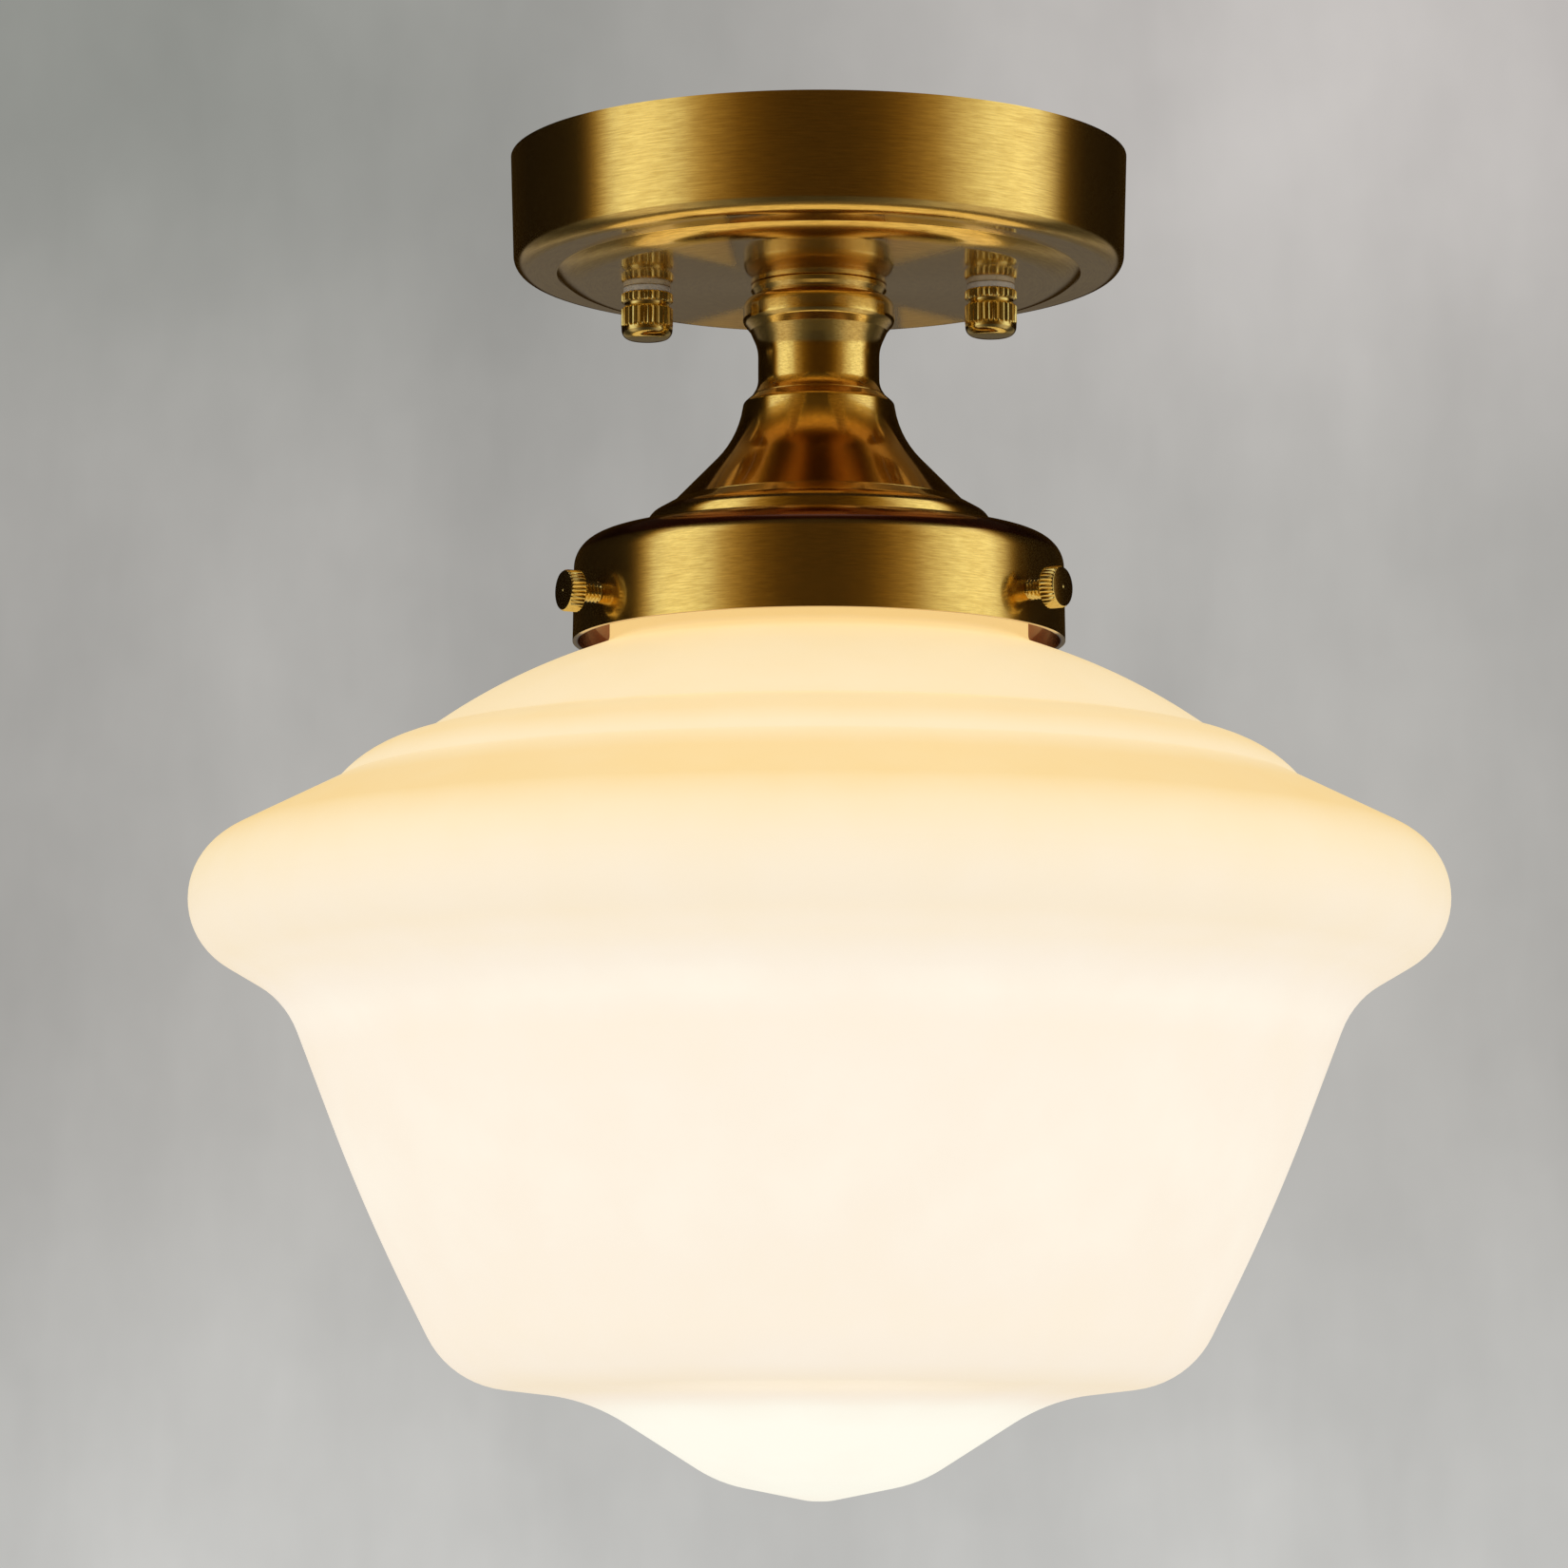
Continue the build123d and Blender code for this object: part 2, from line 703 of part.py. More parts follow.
for name, side, angle in [("black", -1, 115), ("white", 1, 65)]:
    start_x = side * (lead_radius + 0.15)
    reach = Vector(1, 0, 0).rotate(Axis.Z, angle)
    bend_top = Vector(start_x, 0, lead_run_z)
    with BuildPart() as lead:
        with BuildLine():
            route = FilletPolyline(
                (start_x, 0, lead_foot_z),
                bend_top,
                bend_top + reach * (connector_start + connector_bore_depth),
                radius=lead_bend,
            )
        with BuildSketch(Plane(origin=route @ 0, z_dir=route % 0)):
            Circle(lead_radius)
        sweep()
    save(lead.part, f"lead_{name}")
    swept = lead.part.volume / (math.pi * lead_radius**2 * route.length)
    print(f"lead_{name}: bend radius {lead_bend} mm, volume over section times length {swept:.4f}")

    # Screw-on wire connector over the lead's end
    mouth = Plane(origin=bend_top + reach * connector_start, z_dir=reach)
    with BuildPart() as connector:
        with BuildSketch(mouth):
            Circle(connector_mouth_radius)
        with BuildSketch(mouth.offset(connector_length)):
            Circle(connector_end_radius)
        loft()
        with BuildSketch(mouth):
            Circle(lead_radius + thread_gap)
        extrude(amount=connector_bore_depth, mode=Mode.SUBTRACT)
    save(connector.part, f"connector_{name}")

turns = (nut_hole_depth - 0.5) / stud_pitch
print(f"cap nut: about {turns:.1f} turns to the end of its thread")
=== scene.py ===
# %% [markdown]
# # A semi flush ceiling light in brushed brass and opal glass
#
# The light hangs under a ceiling. A spun brass canopy covers the outlet box, a turned stem hangs
# from it on a threaded pipe, a cup at the stem's foot holds three thumb screws, and the screws
# carry a blown shade round one bulb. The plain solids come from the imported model, in metres, with
# the ceiling plane at z = 0. This lesson dresses them: smooth turned skins, knurls and threads,
# brushed metal, glowing glass and a small studio.

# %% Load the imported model
import json
import math

import bmesh
import bpy
from mathutils import Matrix, Vector


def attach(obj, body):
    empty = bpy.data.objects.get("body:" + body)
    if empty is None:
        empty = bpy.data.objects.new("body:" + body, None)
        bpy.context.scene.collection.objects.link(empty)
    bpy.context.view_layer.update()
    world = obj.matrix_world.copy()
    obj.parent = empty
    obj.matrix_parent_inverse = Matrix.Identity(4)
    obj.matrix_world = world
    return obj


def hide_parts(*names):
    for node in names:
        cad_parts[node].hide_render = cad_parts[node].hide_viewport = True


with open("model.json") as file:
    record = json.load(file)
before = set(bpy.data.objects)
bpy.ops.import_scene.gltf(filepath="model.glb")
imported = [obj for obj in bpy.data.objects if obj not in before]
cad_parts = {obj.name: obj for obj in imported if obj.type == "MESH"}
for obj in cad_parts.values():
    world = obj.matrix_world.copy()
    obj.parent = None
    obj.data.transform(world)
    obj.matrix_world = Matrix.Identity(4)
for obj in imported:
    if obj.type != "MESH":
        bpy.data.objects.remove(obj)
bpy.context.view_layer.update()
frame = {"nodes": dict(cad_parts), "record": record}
mm = 0.001
print("packed nodes:", len(frame["nodes"]))

# %% [markdown]
# ## The camera
#
# The photograph looks up a little from below the canopy's level, through a long lens. Its place
# comes from the ellipses of the canopy's rim and the shade: how flat each looks gives the height,
# and how they shrink with depth gives the distance. A look-at constraint would also aim it, but
# plain angles show what was worked out.

# %% Place the camera
camera_distance = 1.2586            # from the light's axis, along the floor
camera_height = -0.2798             # below the ceiling plane
camera_azimuth = math.radians(2.5)
camera_pitch = math.radians(6.878)
camera_turn = math.radians(0.321)   # to the left, so the axis stands right of the middle
camera_lens = 144.66                # on a sensor 36 mm wide

camera = bpy.data.objects.new("photo_camera", bpy.data.cameras.new("photo_camera"))
bpy.context.scene.collection.objects.link(camera)
camera.location = (
    math.sin(camera_azimuth) * camera_distance,
    -math.cos(camera_azimuth) * camera_distance,
    camera_height,
)
camera.rotation_euler = (math.pi / 2 + camera_pitch, 0, camera_azimuth + camera_turn)
camera.data.sensor_width = 36
camera.data.lens = camera_lens
camera.data.clip_start = 0.05
bpy.context.scene.camera = camera
bpy.context.scene.view_settings.view_transform = "Standard"
print("camera at", [round(v, 3) for v in camera.location], "lens", camera.data.lens)

# %% [markdown]
# ## Helpers for shader nodes
#
# Every finish below is a small tree of nodes. Clicking them together in the editor and writing
# them out one attribute at a time both work, but a helper that makes a node, sets it and joins its
# inputs in one line keeps each material short enough to read like a recipe.

# %% Make and join nodes in one line
def put(tree, kind, inputs=None, **settings):
    """Add a node. Each input is a number, a colour, an output, or a node for its first output."""
    made = tree.nodes.new("ShaderNode" + kind)
    for name, value in settings.items():
        setattr(made, name, value)
    for name, value in (inputs or {}).items():
        if isinstance(value, bpy.types.Node):
            value = value.outputs[0]
        if isinstance(value, bpy.types.NodeSocket):
            tree.links.new(value, made.inputs[name])
        else:
            made.inputs[name].default_value = value
    return made


def sums(tree, operation, *values):
    """One Math node over the values."""
    return put(tree, "Math", dict(enumerate(values)), operation=operation)


def vectors(tree, operation, *values):
    """One Vector Math node over the values."""
    return put(tree, "VectorMath", dict(enumerate(values)), operation=operation)


def scaled(tree, vector, factor):
    """The vector or colour times a number."""
    return put(tree, "VectorMath", {0: vector, "Scale": factor}, operation="SCALE")


print("node helpers ready: put, sums, vectors and scaled")

# %% [markdown]
# Most of a finish is mixing: two numbers or two colours by a factor, and a value spread from one
# range over another. The Mix node has many hidden sockets, one set for each kind of data, so its
# helpers also keep their numbers out of the recipes.

# %% Mix and spread values
def blend(tree, factor, low, high):
    """The number that lies at factor between two numbers."""
    return put(tree, "Mix", {0: factor, 2: low, 3: high}, data_type="FLOAT").outputs[0]


def between(tree, factor, low, high):
    """The colour that lies at factor between two colours, which may be outputs too."""
    return put(tree, "Mix", {0: factor, 6: low, 7: high}, data_type="RGBA").outputs[2]


def stepped(tree, value, low, high, to_low=0.0, to_high=1.0, smooth=False):
    """The value's place between low and high, spread over to_low and to_high."""
    kind = "SMOOTHSTEP" if smooth else "LINEAR"
    inputs = {0: value, 1: low, 2: high, 3: to_low, 4: to_high}
    return put(tree, "MapRange", inputs, interpolation_type=kind)


def ramp(tree, value, stops):
    """A Color Ramp through the stops, each a place from 0 to 1 and a colour."""
    made = put(tree, "ValToRGB", {0: value})
    for place, colour in stops[1:-1]:
        made.color_ramp.elements.new(place).color = (*colour, 1)
    ends = made.color_ramp.elements[0], made.color_ramp.elements[-1]
    for element, (place, colour) in zip(ends, (stops[0], stops[-1])):
        element.position, element.color = place, (*colour, 1)
    return made


print("mixing helpers ready: blend, between, stepped and ramp")

# %% [markdown]
# Some questions come up in several materials: where is this point, how far is it from the light's
# axis, and who is looking? Each gets a helper of its own. The nodes still go into the tree that
# asks, because an exporter can't read Light Path inside a node group.

# %% Ask a tree where a point is and who looks at it
def object_place(tree):
    """Where the point lies on its object, in metres."""
    return put(tree, "TexCoord").outputs["Object"]


def split(tree, vector):
    """The vector's X, Y and Z."""
    return put(tree, "SeparateXYZ", {0: vector}).outputs


def length(tree, vector):
    """The vector's length."""
    return vectors(tree, "LENGTH", vector).outputs["Value"]


def off_axis(tree, place):
    """The way from the Z axis straight out to a place."""
    return vectors(tree, "MULTIPLY", place, (1, 1, 0))


def sight(tree):
    """Two masks: the rays of camera, metal and glass together, and the rays of metal alone."""
    seen = put(tree, "LightPath").outputs
    looked_at = sums(tree, "MAXIMUM", seen["Is Camera Ray"], seen["Is Glossy Ray"])
    looked_at = sums(tree, "MAXIMUM", looked_at, seen["Is Transmission Ray"])
    return looked_at, seen["Is Glossy Ray"]


print("questions ready: object_place, split, length, off_axis and sight")

# %% [markdown]
# ## The backdrop
#
# Behind the light is a wall of mottled grey plaster, out of focus. A plane would show its edges in
# a view from the side, so the world itself is the wall: cloudy noise over the direction of view.
# It is darker at the upper left, paler at the upper right and palest low down.

# %% Paint the plaster
world = bpy.data.worlds.new("plaster_wall")
bpy.context.scene.world = world
world.use_nodes = True
wall = world.node_tree
wall.nodes.clear()

direction = put(wall, "TexCoord").outputs["Generated"]
towards = split(wall, direction)
upwards, sideways = towards["Z"], towards["X"]
upper_left, upper_right = (0.27, 0.275, 0.255, 1), (0.53, 0.505, 0.487, 1)
middle, lower = (0.43, 0.42, 0.4, 1), (0.56, 0.558, 0.54, 1)
to_the_right = stepped(wall, sideways, -0.15, 0.05, smooth=True)
plaster = between(wall, to_the_right, upper_left, upper_right)
# painted shade: the darker middle band stands for shade on the wall round the light
plaster = between(wall, stepped(wall, upwards, 0.23, 0.15, smooth=True), plaster, middle)
plaster = between(wall, stepped(wall, upwards, 0.09, -0.02, smooth=True), plaster, lower)

slanted = {"Vector": direction, "Rotation": (0, 0.16, 0), "Scale": (1, 1, 0.3)}
trowelled = put(wall, "Mapping", slanted)
cloud_inputs = {"Vector": trowelled, "Scale": 17.0, "Detail": 5.0, "Roughness": 0.55}
clouds = put(wall, "TexNoise", cloud_inputs)
grains = put(wall, "TexNoise", {"Vector": direction, "Scale": 60.0, "Detail": 3.0})
cloud_levels = stepped(wall, clouds, 0.3, 0.7, 0.86, 1.1)
grain_levels = stepped(wall, grains, 0.3, 0.7, -0.02, 0.03)
plaster = scaled(wall, plaster, sums(wall, "ADD", cloud_levels, grain_levels))
print("plaster:", len(wall.nodes), "nodes")

# %% [markdown]
# The lighting of matt surfaces is kept apart from that picture. Rays that leave a matt surface meet
# an even, pale sky, at a level where a colour renders about as it is written.

# %% Part the picture from the daylight
looked_at, _ = sight(wall)
picture = put(wall, "Background", {"Color": plaster})
daylight = put(wall, "Background", {"Color": (0.62, 0.61, 0.59, 1)})
either = put(wall, "MixShader", {0: looked_at, 1: daylight, 2: picture})
put(wall, "OutputWorld", {"Surface": either})
print("world:", world.name, "with", len(wall.nodes), "nodes")

# %% [markdown]
# ## Skins over rings
#
# Nearly every piece of this light is turned on a lathe, spun over a form or blown in a mould, so it
# is round about one axis. A Screw modifier could sweep a drawn line round that axis. Here the rings
# of points are written by code instead, because a ring can then also be a hexagon or a knurl, and
# rings that shift a little from one to the next cut a true thread.

# %% Draw a ring
def ring(radius, height, steps, shape=None):
    """Points round the Z axis. shape(angle) adds to the radius; a radius of 0 gives one point."""
    if radius == 0:
        return [Vector((0, 0, height))]
    points = []
    for step in range(steps):
        angle = 2 * math.pi * step / steps
        out = radius + (shape(angle) if shape else 0)
        points.append(Vector((out * math.cos(angle), out * math.sin(angle), height)))
    return points


print("ring ready, for example", len(ring(10, 0, 6)), "points")

# %% [markdown]
# A skin joins each ring to the next with four-sided faces, or with three-sided ones where a ring is
# a single point on the axis. Its faces are then turned outwards and shaded smooth, except at edges
# that are sharp on the real piece.

# %% Stretch a mesh over rings
def face_outwards(mesh, close_holes=False):
    """Turn every face's normal outwards, and close open four-sided ends first if asked."""
    work = bmesh.new()
    work.from_mesh(mesh)
    if close_holes:
        bmesh.ops.holes_fill(work, edges=work.edges, sides=4)
    bmesh.ops.recalc_face_normals(work, faces=work.faces)
    work.to_mesh(mesh)
    work.free()


def smooth_over(mesh, crease):
    """Shade smooth, but keep edges sharper than the crease angle, in degrees, crisp."""
    mesh.shade_smooth()
    mesh.set_sharp_from_angle(angle=math.radians(crease))


def skin(name, rings, closed=False, crease=35):
    """A mesh over rings of points in millimetres, each as long as the others, or one for a tip."""
    starts = [sum(len(loop) for loop in rings[:i]) for i in range(len(rings))]
    pairs = list(zip(range(len(rings)), range(1, len(rings))))
    pairs += [(len(rings) - 1, 0)] if closed else []
    faces = []
    for one, two in pairs:
        count = max(len(rings[one]), len(rings[two]))
        for i in range(count):
            j = (i + 1) % count
            a, b = (starts[one] + (k if len(rings[one]) > 1 else 0) for k in (i, j))
            d, c = (starts[two] + (k if len(rings[two]) > 1 else 0) for k in (i, j))
            faces.append(list(dict.fromkeys((a, b, c, d))))
    mesh = bpy.data.meshes.new(name)
    mesh.from_pydata([point * mm for loop in rings for point in loop], [], faces)
    face_outwards(mesh)
    smooth_over(mesh, crease)
    piece = bpy.data.objects.new(name, mesh)
    bpy.context.scene.collection.objects.link(piece)
    return piece


print("mesh helpers ready: face_outwards, smooth_over and skin")

# %% [markdown]
# ## The studio round the light
#
# Metal shows what surrounds it. The brass in the photograph has a bright band on each side that
# breaks off sharply towards the edge and fades slowly towards the middle, a warm dark middle and
# nearly black rims: two large lit cloths stood left and right, in a dim room. Area lamps could
# stand there, but their fade would be guesswork. A drum of cloth that glows by its own plan,
# brightness against bearing, gives the reflections directly. Low down the cloths are dimmer, and
# two more stand behind, so the metal is also lit in a view from there.

# %% Plan the lit cloths
# bearing in degrees from the front, positive to the right, and brightness there
upper_plan = [
    (-180, 0.02), (-134, 0.006), (-104, 0.008), (-96, 0.01), (-91, 0.06), (-87, 0.24), (-83, 0.52),
    (-78, 0.84), (-73, 0.97), (-61, 0.98), (-50, 0.74), (-43, 0.48), (-37, 0.31), (-26, 0.13),
    (-15, 0.065), (-5, 0.046), (12, 0.046), (24, 0.068), (34, 0.15), (46, 0.33), (57, 0.66),
    (69, 0.94), (83, 1.05), (90, 1.0), (97, 0.6), (103, 0.16), (108, 0.04), (118, 0.012),
    (145, 0.008), (180, 0.02),
]
lower_plan = [
    (-180, 0.12), (-160, 0.13), (-146, 0.24), (-134, 0.12), (-120, 0.05), (-104, 0.04),
    (-92, 0.1), (-84, 0.32), (-76, 0.55), (-62, 0.58), (-50, 0.42), (-40, 0.22), (-26, 0.09),
    (-10, 0.045), (10, 0.045), (26, 0.09), (40, 0.22), (50, 0.38), (60, 0.5), (76, 0.6),
    (88, 0.55), (97, 0.3), (104, 0.08), (120, 0.05), (134, 0.12), (146, 0.24), (160, 0.13),
    (180, 0.12),
]


def lit_cloth(brightness):
    """Bright cloth is white, and dim cloth is warm, like the brown room behind it."""
    white = min(1.0, brightness / 0.8)
    green, blue = 0.42 + 0.57 * white, 0.02 + 0.84 * white ** 1.5
    return (brightness, brightness * green, brightness * blue)


def grey_cloth(brightness):
    """Low down, in the shade of the room, the cloth is nearly grey."""
    return (brightness, brightness * 0.86, brightness * 0.7)


print("cloths:", len(upper_plan), "levels above,", len(lower_plan), "below")

# %% [markdown]
# The drum hangs far outside the picture and only reflections see it, so it neither lights matt
# surfaces nor stands in the way of the camera. Two helpers do that for each piece of the studio.

# %% Prepare the studio's materials
def glowing(name):
    """A new material with an empty tree."""
    made = bpy.data.materials.new(name)
    made.use_nodes = True
    made.node_tree.nodes.clear()
    return made, made.node_tree


def reflected_only(piece, material):
    """Give a piece of the studio its material, and hide it from all but reflections."""
    piece.data.materials.append(material)
    piece.visible_camera = piece.visible_diffuse = False
    piece.visible_transmission = piece.visible_shadow = False


print("studio helpers ready: glowing and reflected_only")

# %% [markdown]
# The bearing of a point on the cloth comes from the arctangent of its place, and a ramp over the
# whole turn holds each plan.

# %% Hang the drum of cloth
drum_radius, drum_low, drum_high = 1700, -1500, 1250
round_steps = 96
drum_rings = [ring(drum_radius, level, round_steps) for level in (drum_low, drum_high)]
drum = skin("studio_drum", drum_rings, crease=60)
cloth, tree = glowing("lit_cloth")
spot = split(tree, object_place(tree))
bearing = sums(tree, "ARCTAN2", spot["X"], sums(tree, "MULTIPLY", spot["Y"], -1.0))
turn = stepped(tree, bearing, -math.pi, math.pi)
bands_of_cloth = []
for plan, tint in ((lower_plan, grey_cloth), (upper_plan, lit_cloth)):
    stops = [((degrees + 180) / 360, tint(level)) for degrees, level in plan]
    bands_of_cloth.append(ramp(tree, turn, stops).outputs["Color"])
height = stepped(tree, spot["Z"], -0.32, -0.12, smooth=True)
glow = put(tree, "Emission", {"Color": between(tree, height, *bands_of_cloth)})
put(tree, "OutputMaterial", {"Surface": glow})
reflected_only(drum, cloth)
print("drum of cloth:", drum_radius, "mm in radius, from", drum_low, "to", drum_high)

# %% [markdown]
# The canopy's disc and the tops of the holder and the bell look down and up, past the cloths. A
# dark lid with one soft panel closes the drum, so they mirror a room and not an empty sky.

# %% Close the drum with a dark ceiling that has one lit panel
panel_edge, panel_core = 0.62, 0.4      # metres from the middle
lid = skin("studio_ceiling", [ring(0, drum_high, 1), ring(drum_radius, drum_high, round_steps)])
dark_ceiling, tree = glowing("dark_ceiling")
from_middle = length(tree, off_axis(tree, object_place(tree)))
panel = stepped(tree, from_middle, panel_edge, panel_core, smooth=True)
panel_glow = between(tree, panel, (0.025, 0.016, 0.009, 1), (0.5, 0.48, 0.44, 1))
put(tree, "OutputMaterial", {"Surface": put(tree, "Emission", {"Color": panel_glow})})
reflected_only(lid, dark_ceiling)
print("ceiling of the studio at", drum_high, "mm")

# %% [markdown]
# ## The floor
#
# The room's floor is far below, out of the photograph's view. A plain disc stands for it, so a view
# from above does not look into nothing. It is painted like the wall, and glows for the camera as
# the wall does, so no line divides them. Metal sees it dim, as the floor of a dim room.

# %% Lay the floor
floor_level, floor_radius = -2400, 9000
floor_rings = [ring(radius, floor_level, round_steps) for radius in (0, floor_radius)]
floor = skin("studio_floor", floor_rings)
painted, tree = glowing("pale_floor")
looked_at, mirrored = sight(tree)
flecks = put(tree, "TexNoise", {"Vector": object_place(tree), "Scale": 1.6, "Detail": 4.0})
pale = between(tree, flecks, (0.52, 0.518, 0.5, 1), (0.57, 0.568, 0.55, 1))
matt = put(tree, "BsdfDiffuse", {"Color": pale})
lit = put(tree, "Emission", {"Color": between(tree, mirrored, pale, (0.12, 0.09, 0.06, 1))})
put(tree, "OutputMaterial", {"Surface": put(tree, "MixShader", {0: looked_at, 1: matt, 2: lit})})
floor.data.materials.append(painted)
print("floor at", floor.data.vertices[0].co.z, "m")

# %% [markdown]
# ## Effects that several finishes share
#
# Two effects come back in many of the finishes. Turned and drawn metal carries fine lines that run
# round its axis, and cast, moulded and glazed surfaces have a soft grain. Each is built once as a
# node group with named inputs, like a brush with settings, and every finish places it with its own
# values. Copying the nodes into each material would work too, until one of them needed a change.
#
# The lines come first. They are noise, stretched: it changes slowly round the axis and quickly
# along it and outwards. A fine set and a set nine times as wide are mixed, because real brushing
# leaves a few broad strokes among the many thin ones.

# %% A group for lines brushed round the axis
def effect(name, inputs, outputs):
    """An empty node group. inputs has each one's usual value; outputs are all plain numbers."""
    group = bpy.data.node_groups.new(name, "ShaderNodeTree")
    number = "NodeSocketFloat"
    for label, usual in inputs.items():
        socket = group.interface.new_socket(name=label, in_out="INPUT", socket_type=number)
        socket.default_value = usual
    for label in outputs:
        group.interface.new_socket(name=label, in_out="OUTPUT", socket_type=number)
    given = group.nodes.new("NodeGroupInput").outputs
    return group, given, group.nodes.new("NodeGroupOutput").inputs


settings = {"Line Width": 0.0004, "Line Breaks": 10.0, "Band Share": 0.35}
brushing, given, result = effect("brushed_lines", settings, ["Tone", "Height"])
point = object_place(brushing)
flat = off_axis(brushing, point)
radius = length(brushing, flat)
compass = scaled(brushing, vectors(brushing, "NORMALIZE", flat), given["Line Breaks"])
rise = split(brushing, point)["Z"]


def lines(width):
    """Noise in long thin streaks of about that width."""
    up = put(brushing, "CombineXYZ", {"Z": sums(brushing, "DIVIDE", rise, width)})
    place = vectors(brushing, "ADD", compass, up)
    out = sums(brushing, "DIVIDE", radius, width)
    inputs = {"Vector": place, "W": out, "Scale": 1.0, "Detail": 3.0, "Roughness": 0.65}
    return put(brushing, "TexNoise", inputs, noise_dimensions="4D").outputs[0]


fine = lines(given["Line Width"])
bands = lines(sums(brushing, "MULTIPLY", given["Line Width"], 9.0))
brushing.links.new(blend(brushing, given["Band Share"], fine, bands), result["Tone"])
brushing.links.new(fine, result["Height"])
print("group:", brushing.name, [item.name for item in brushing.interface.items_tree])

# %% [markdown]
# The grain is plain noise at two sizes. Softness says how much of the slow one shows; the relief
# follows the slow one alone, so a glaze looks pooled and not sandy.

# %% A group for the grain of cast, moulded and glazed surfaces
settings = {"Grain Size": 0.001, "Softness": 0.5}
grain, given, result = effect("soft_grain", settings, ["Tone", "Height"])
point = object_place(grain)
often = sums(grain, "DIVIDE", 1.0, given["Grain Size"])
slow_inputs = {"Vector": point, "Scale": often, "Detail": 2.0, "Roughness": 0.5}
slow = put(grain, "TexNoise", slow_inputs).outputs[0]
quick_scale = sums(grain, "MULTIPLY", often, 6.0)
quick_inputs = {"Vector": point, "Scale": quick_scale, "Detail": 4.0, "Roughness": 0.6}
quick = put(grain, "TexNoise", quick_inputs).outputs[0]
grain.links.new(blend(grain, given["Softness"], quick, slow), result["Tone"])
grain.links.new(slow, result["Height"])
print("group:", grain.name, [item.name for item in grain.interface.items_tree])

# %% [markdown]
# ## Finishes
#
# A finish is a Principled shader with the groups above in front of it. A helper starts each one and
# places a group; the numbers that are the same all over stay on the shader's own sockets, where an
# exporter can read them.

# %% Start a finish
finishes = {}


def finish(slot, colour, metallic=0.0, roughness=0.5, **plain):
    """A new material for one of the record's slots, with its Principled shader's plain values."""
    made = finishes[slot] = bpy.data.materials.new(slot)
    made.use_nodes = True
    made.diffuse_color = (*colour, 1)
    shader = made.node_tree.nodes["Principled BSDF"].inputs
    shader["Base Color"].default_value = (*colour, 1)
    shader["Metallic"].default_value = metallic
    shader["Roughness"].default_value = roughness
    for label, value in plain.items():
        shader[label.replace("_", " ")].default_value = value
    return made.node_tree, shader


def placed(tree, group, **values):
    """A group node with its own values."""
    made = tree.nodes.new("ShaderNodeGroup")
    made.node_tree = group
    for label, value in values.items():
        made.inputs[label.replace("_", " ")].default_value = value
    return made.outputs


def textured(tree, shader, marks, dark, light, rough, depth, spread=(0.35, 0.65)):
    """Join a group's Tone and Height to the shader. depth is the relief's height in metres.

    The colour and the roughness are handed back for finishes that change them further.
    """
    colour = between(tree, stepped(tree, marks["Tone"], *spread), (*dark, 1), (*light, 1))
    tree.links.new(colour, shader["Base Color"])
    roughness = stepped(tree, marks["Tone"], *spread, *rough).outputs[0]
    tree.links.new(roughness, shader["Roughness"])
    relief = put(tree, "Bump", {"Strength": 1.0, "Distance": depth, "Height": marks["Height"]})
    tree.links.new(relief.outputs[0], shader["Normal"])
    return colour, roughness


print("finish helpers ready: finish, placed and textured")

# %% [markdown]
# ### Satin brass
#
# The big brass pieces are brushed round their axis and lacquered. Each brushed line is a groove, so
# light spreads across the lines and hardly along them: the highlight stands as a tall band with
# clean sides. That is anisotropy, turned a quarter so the spread goes across the lines. The lacquer
# is a coat with a clean shine of its own, which at a flat angle mirrors the cap nuts.

# %% Satin brass: lines and lacquer
lacquer = {"Coat_Weight": 0.9, "Coat_Roughness": 0.05}
tree, shader = finish("brushed_brass", (0.86, 0.6, 0.16), 1.0, 0.18, **lacquer)
marks = placed(tree, brushing, Line_Width=0.00028, Line_Breaks=14.0, Band_Share=0.2)
dark, light, rough = (0.7, 0.46, 0.1), (0.98, 0.72, 0.21), (0.22, 0.16)
brass_colour, brass_roughness = textured(tree, shader, marks, dark, light, rough, 0.000002)
around = put(tree, "Tangent", direction_type="RADIAL", axis="Z")
tree.links.new(around.outputs[0], shader["Tangent"])
shader["Anisotropic Rotation"].default_value = 0.25

brass_place = object_place(tree)
across, forward, upward = split(tree, brass_place)
from_axis = length(tree, off_axis(tree, brass_place))
facing = split(tree, put(tree, "NewGeometry").outputs["Normal"])["Z"]
print("finish: brushed_brass, with its lines and its lacquer")

# %% [markdown]
# On the canopy's flat disc the brushed lines are circles, and their spread draws two pale fans
# through its middle, one towards the front and one towards the back. Beside them the disc is
# smoother. The stem's small pieces are turned finer than the spun ones.

# %% Satin brass: the disc's fans and the finer stem
downward = stepped(tree, facing, -0.9, -0.99, smooth=True)
fan_side = sums(tree, "DIVIDE", sums(tree, "ABSOLUTE", forward), from_axis)
in_fan = stepped(tree, fan_side, 0.72, 0.88, smooth=True)
beside_stem = stepped(tree, sums(tree, "ABSOLUTE", across), 0.014, 0.017, smooth=True)
in_fan = sums(tree, "MULTIPLY", in_fan, beside_stem)
disc_roughness = stepped(tree, in_fan, 0.0, 1.0, 0.15, 0.45)
finer_on_stem = stepped(tree, from_axis, 0.038, 0.035, 0.0, 0.04)
wall_roughness = sums(tree, "SUBTRACT", brass_roughness, finer_on_stem)
tree.links.new(blend(tree, downward, wall_roughness, disc_roughness), shader["Roughness"])
tree.links.new(stepped(tree, downward, 0.0, 1.0, 0.5, 0.95).outputs[0], shader["Anisotropic"])
print("roughness: the disc's is 0.15, and 0.45 in its fans")
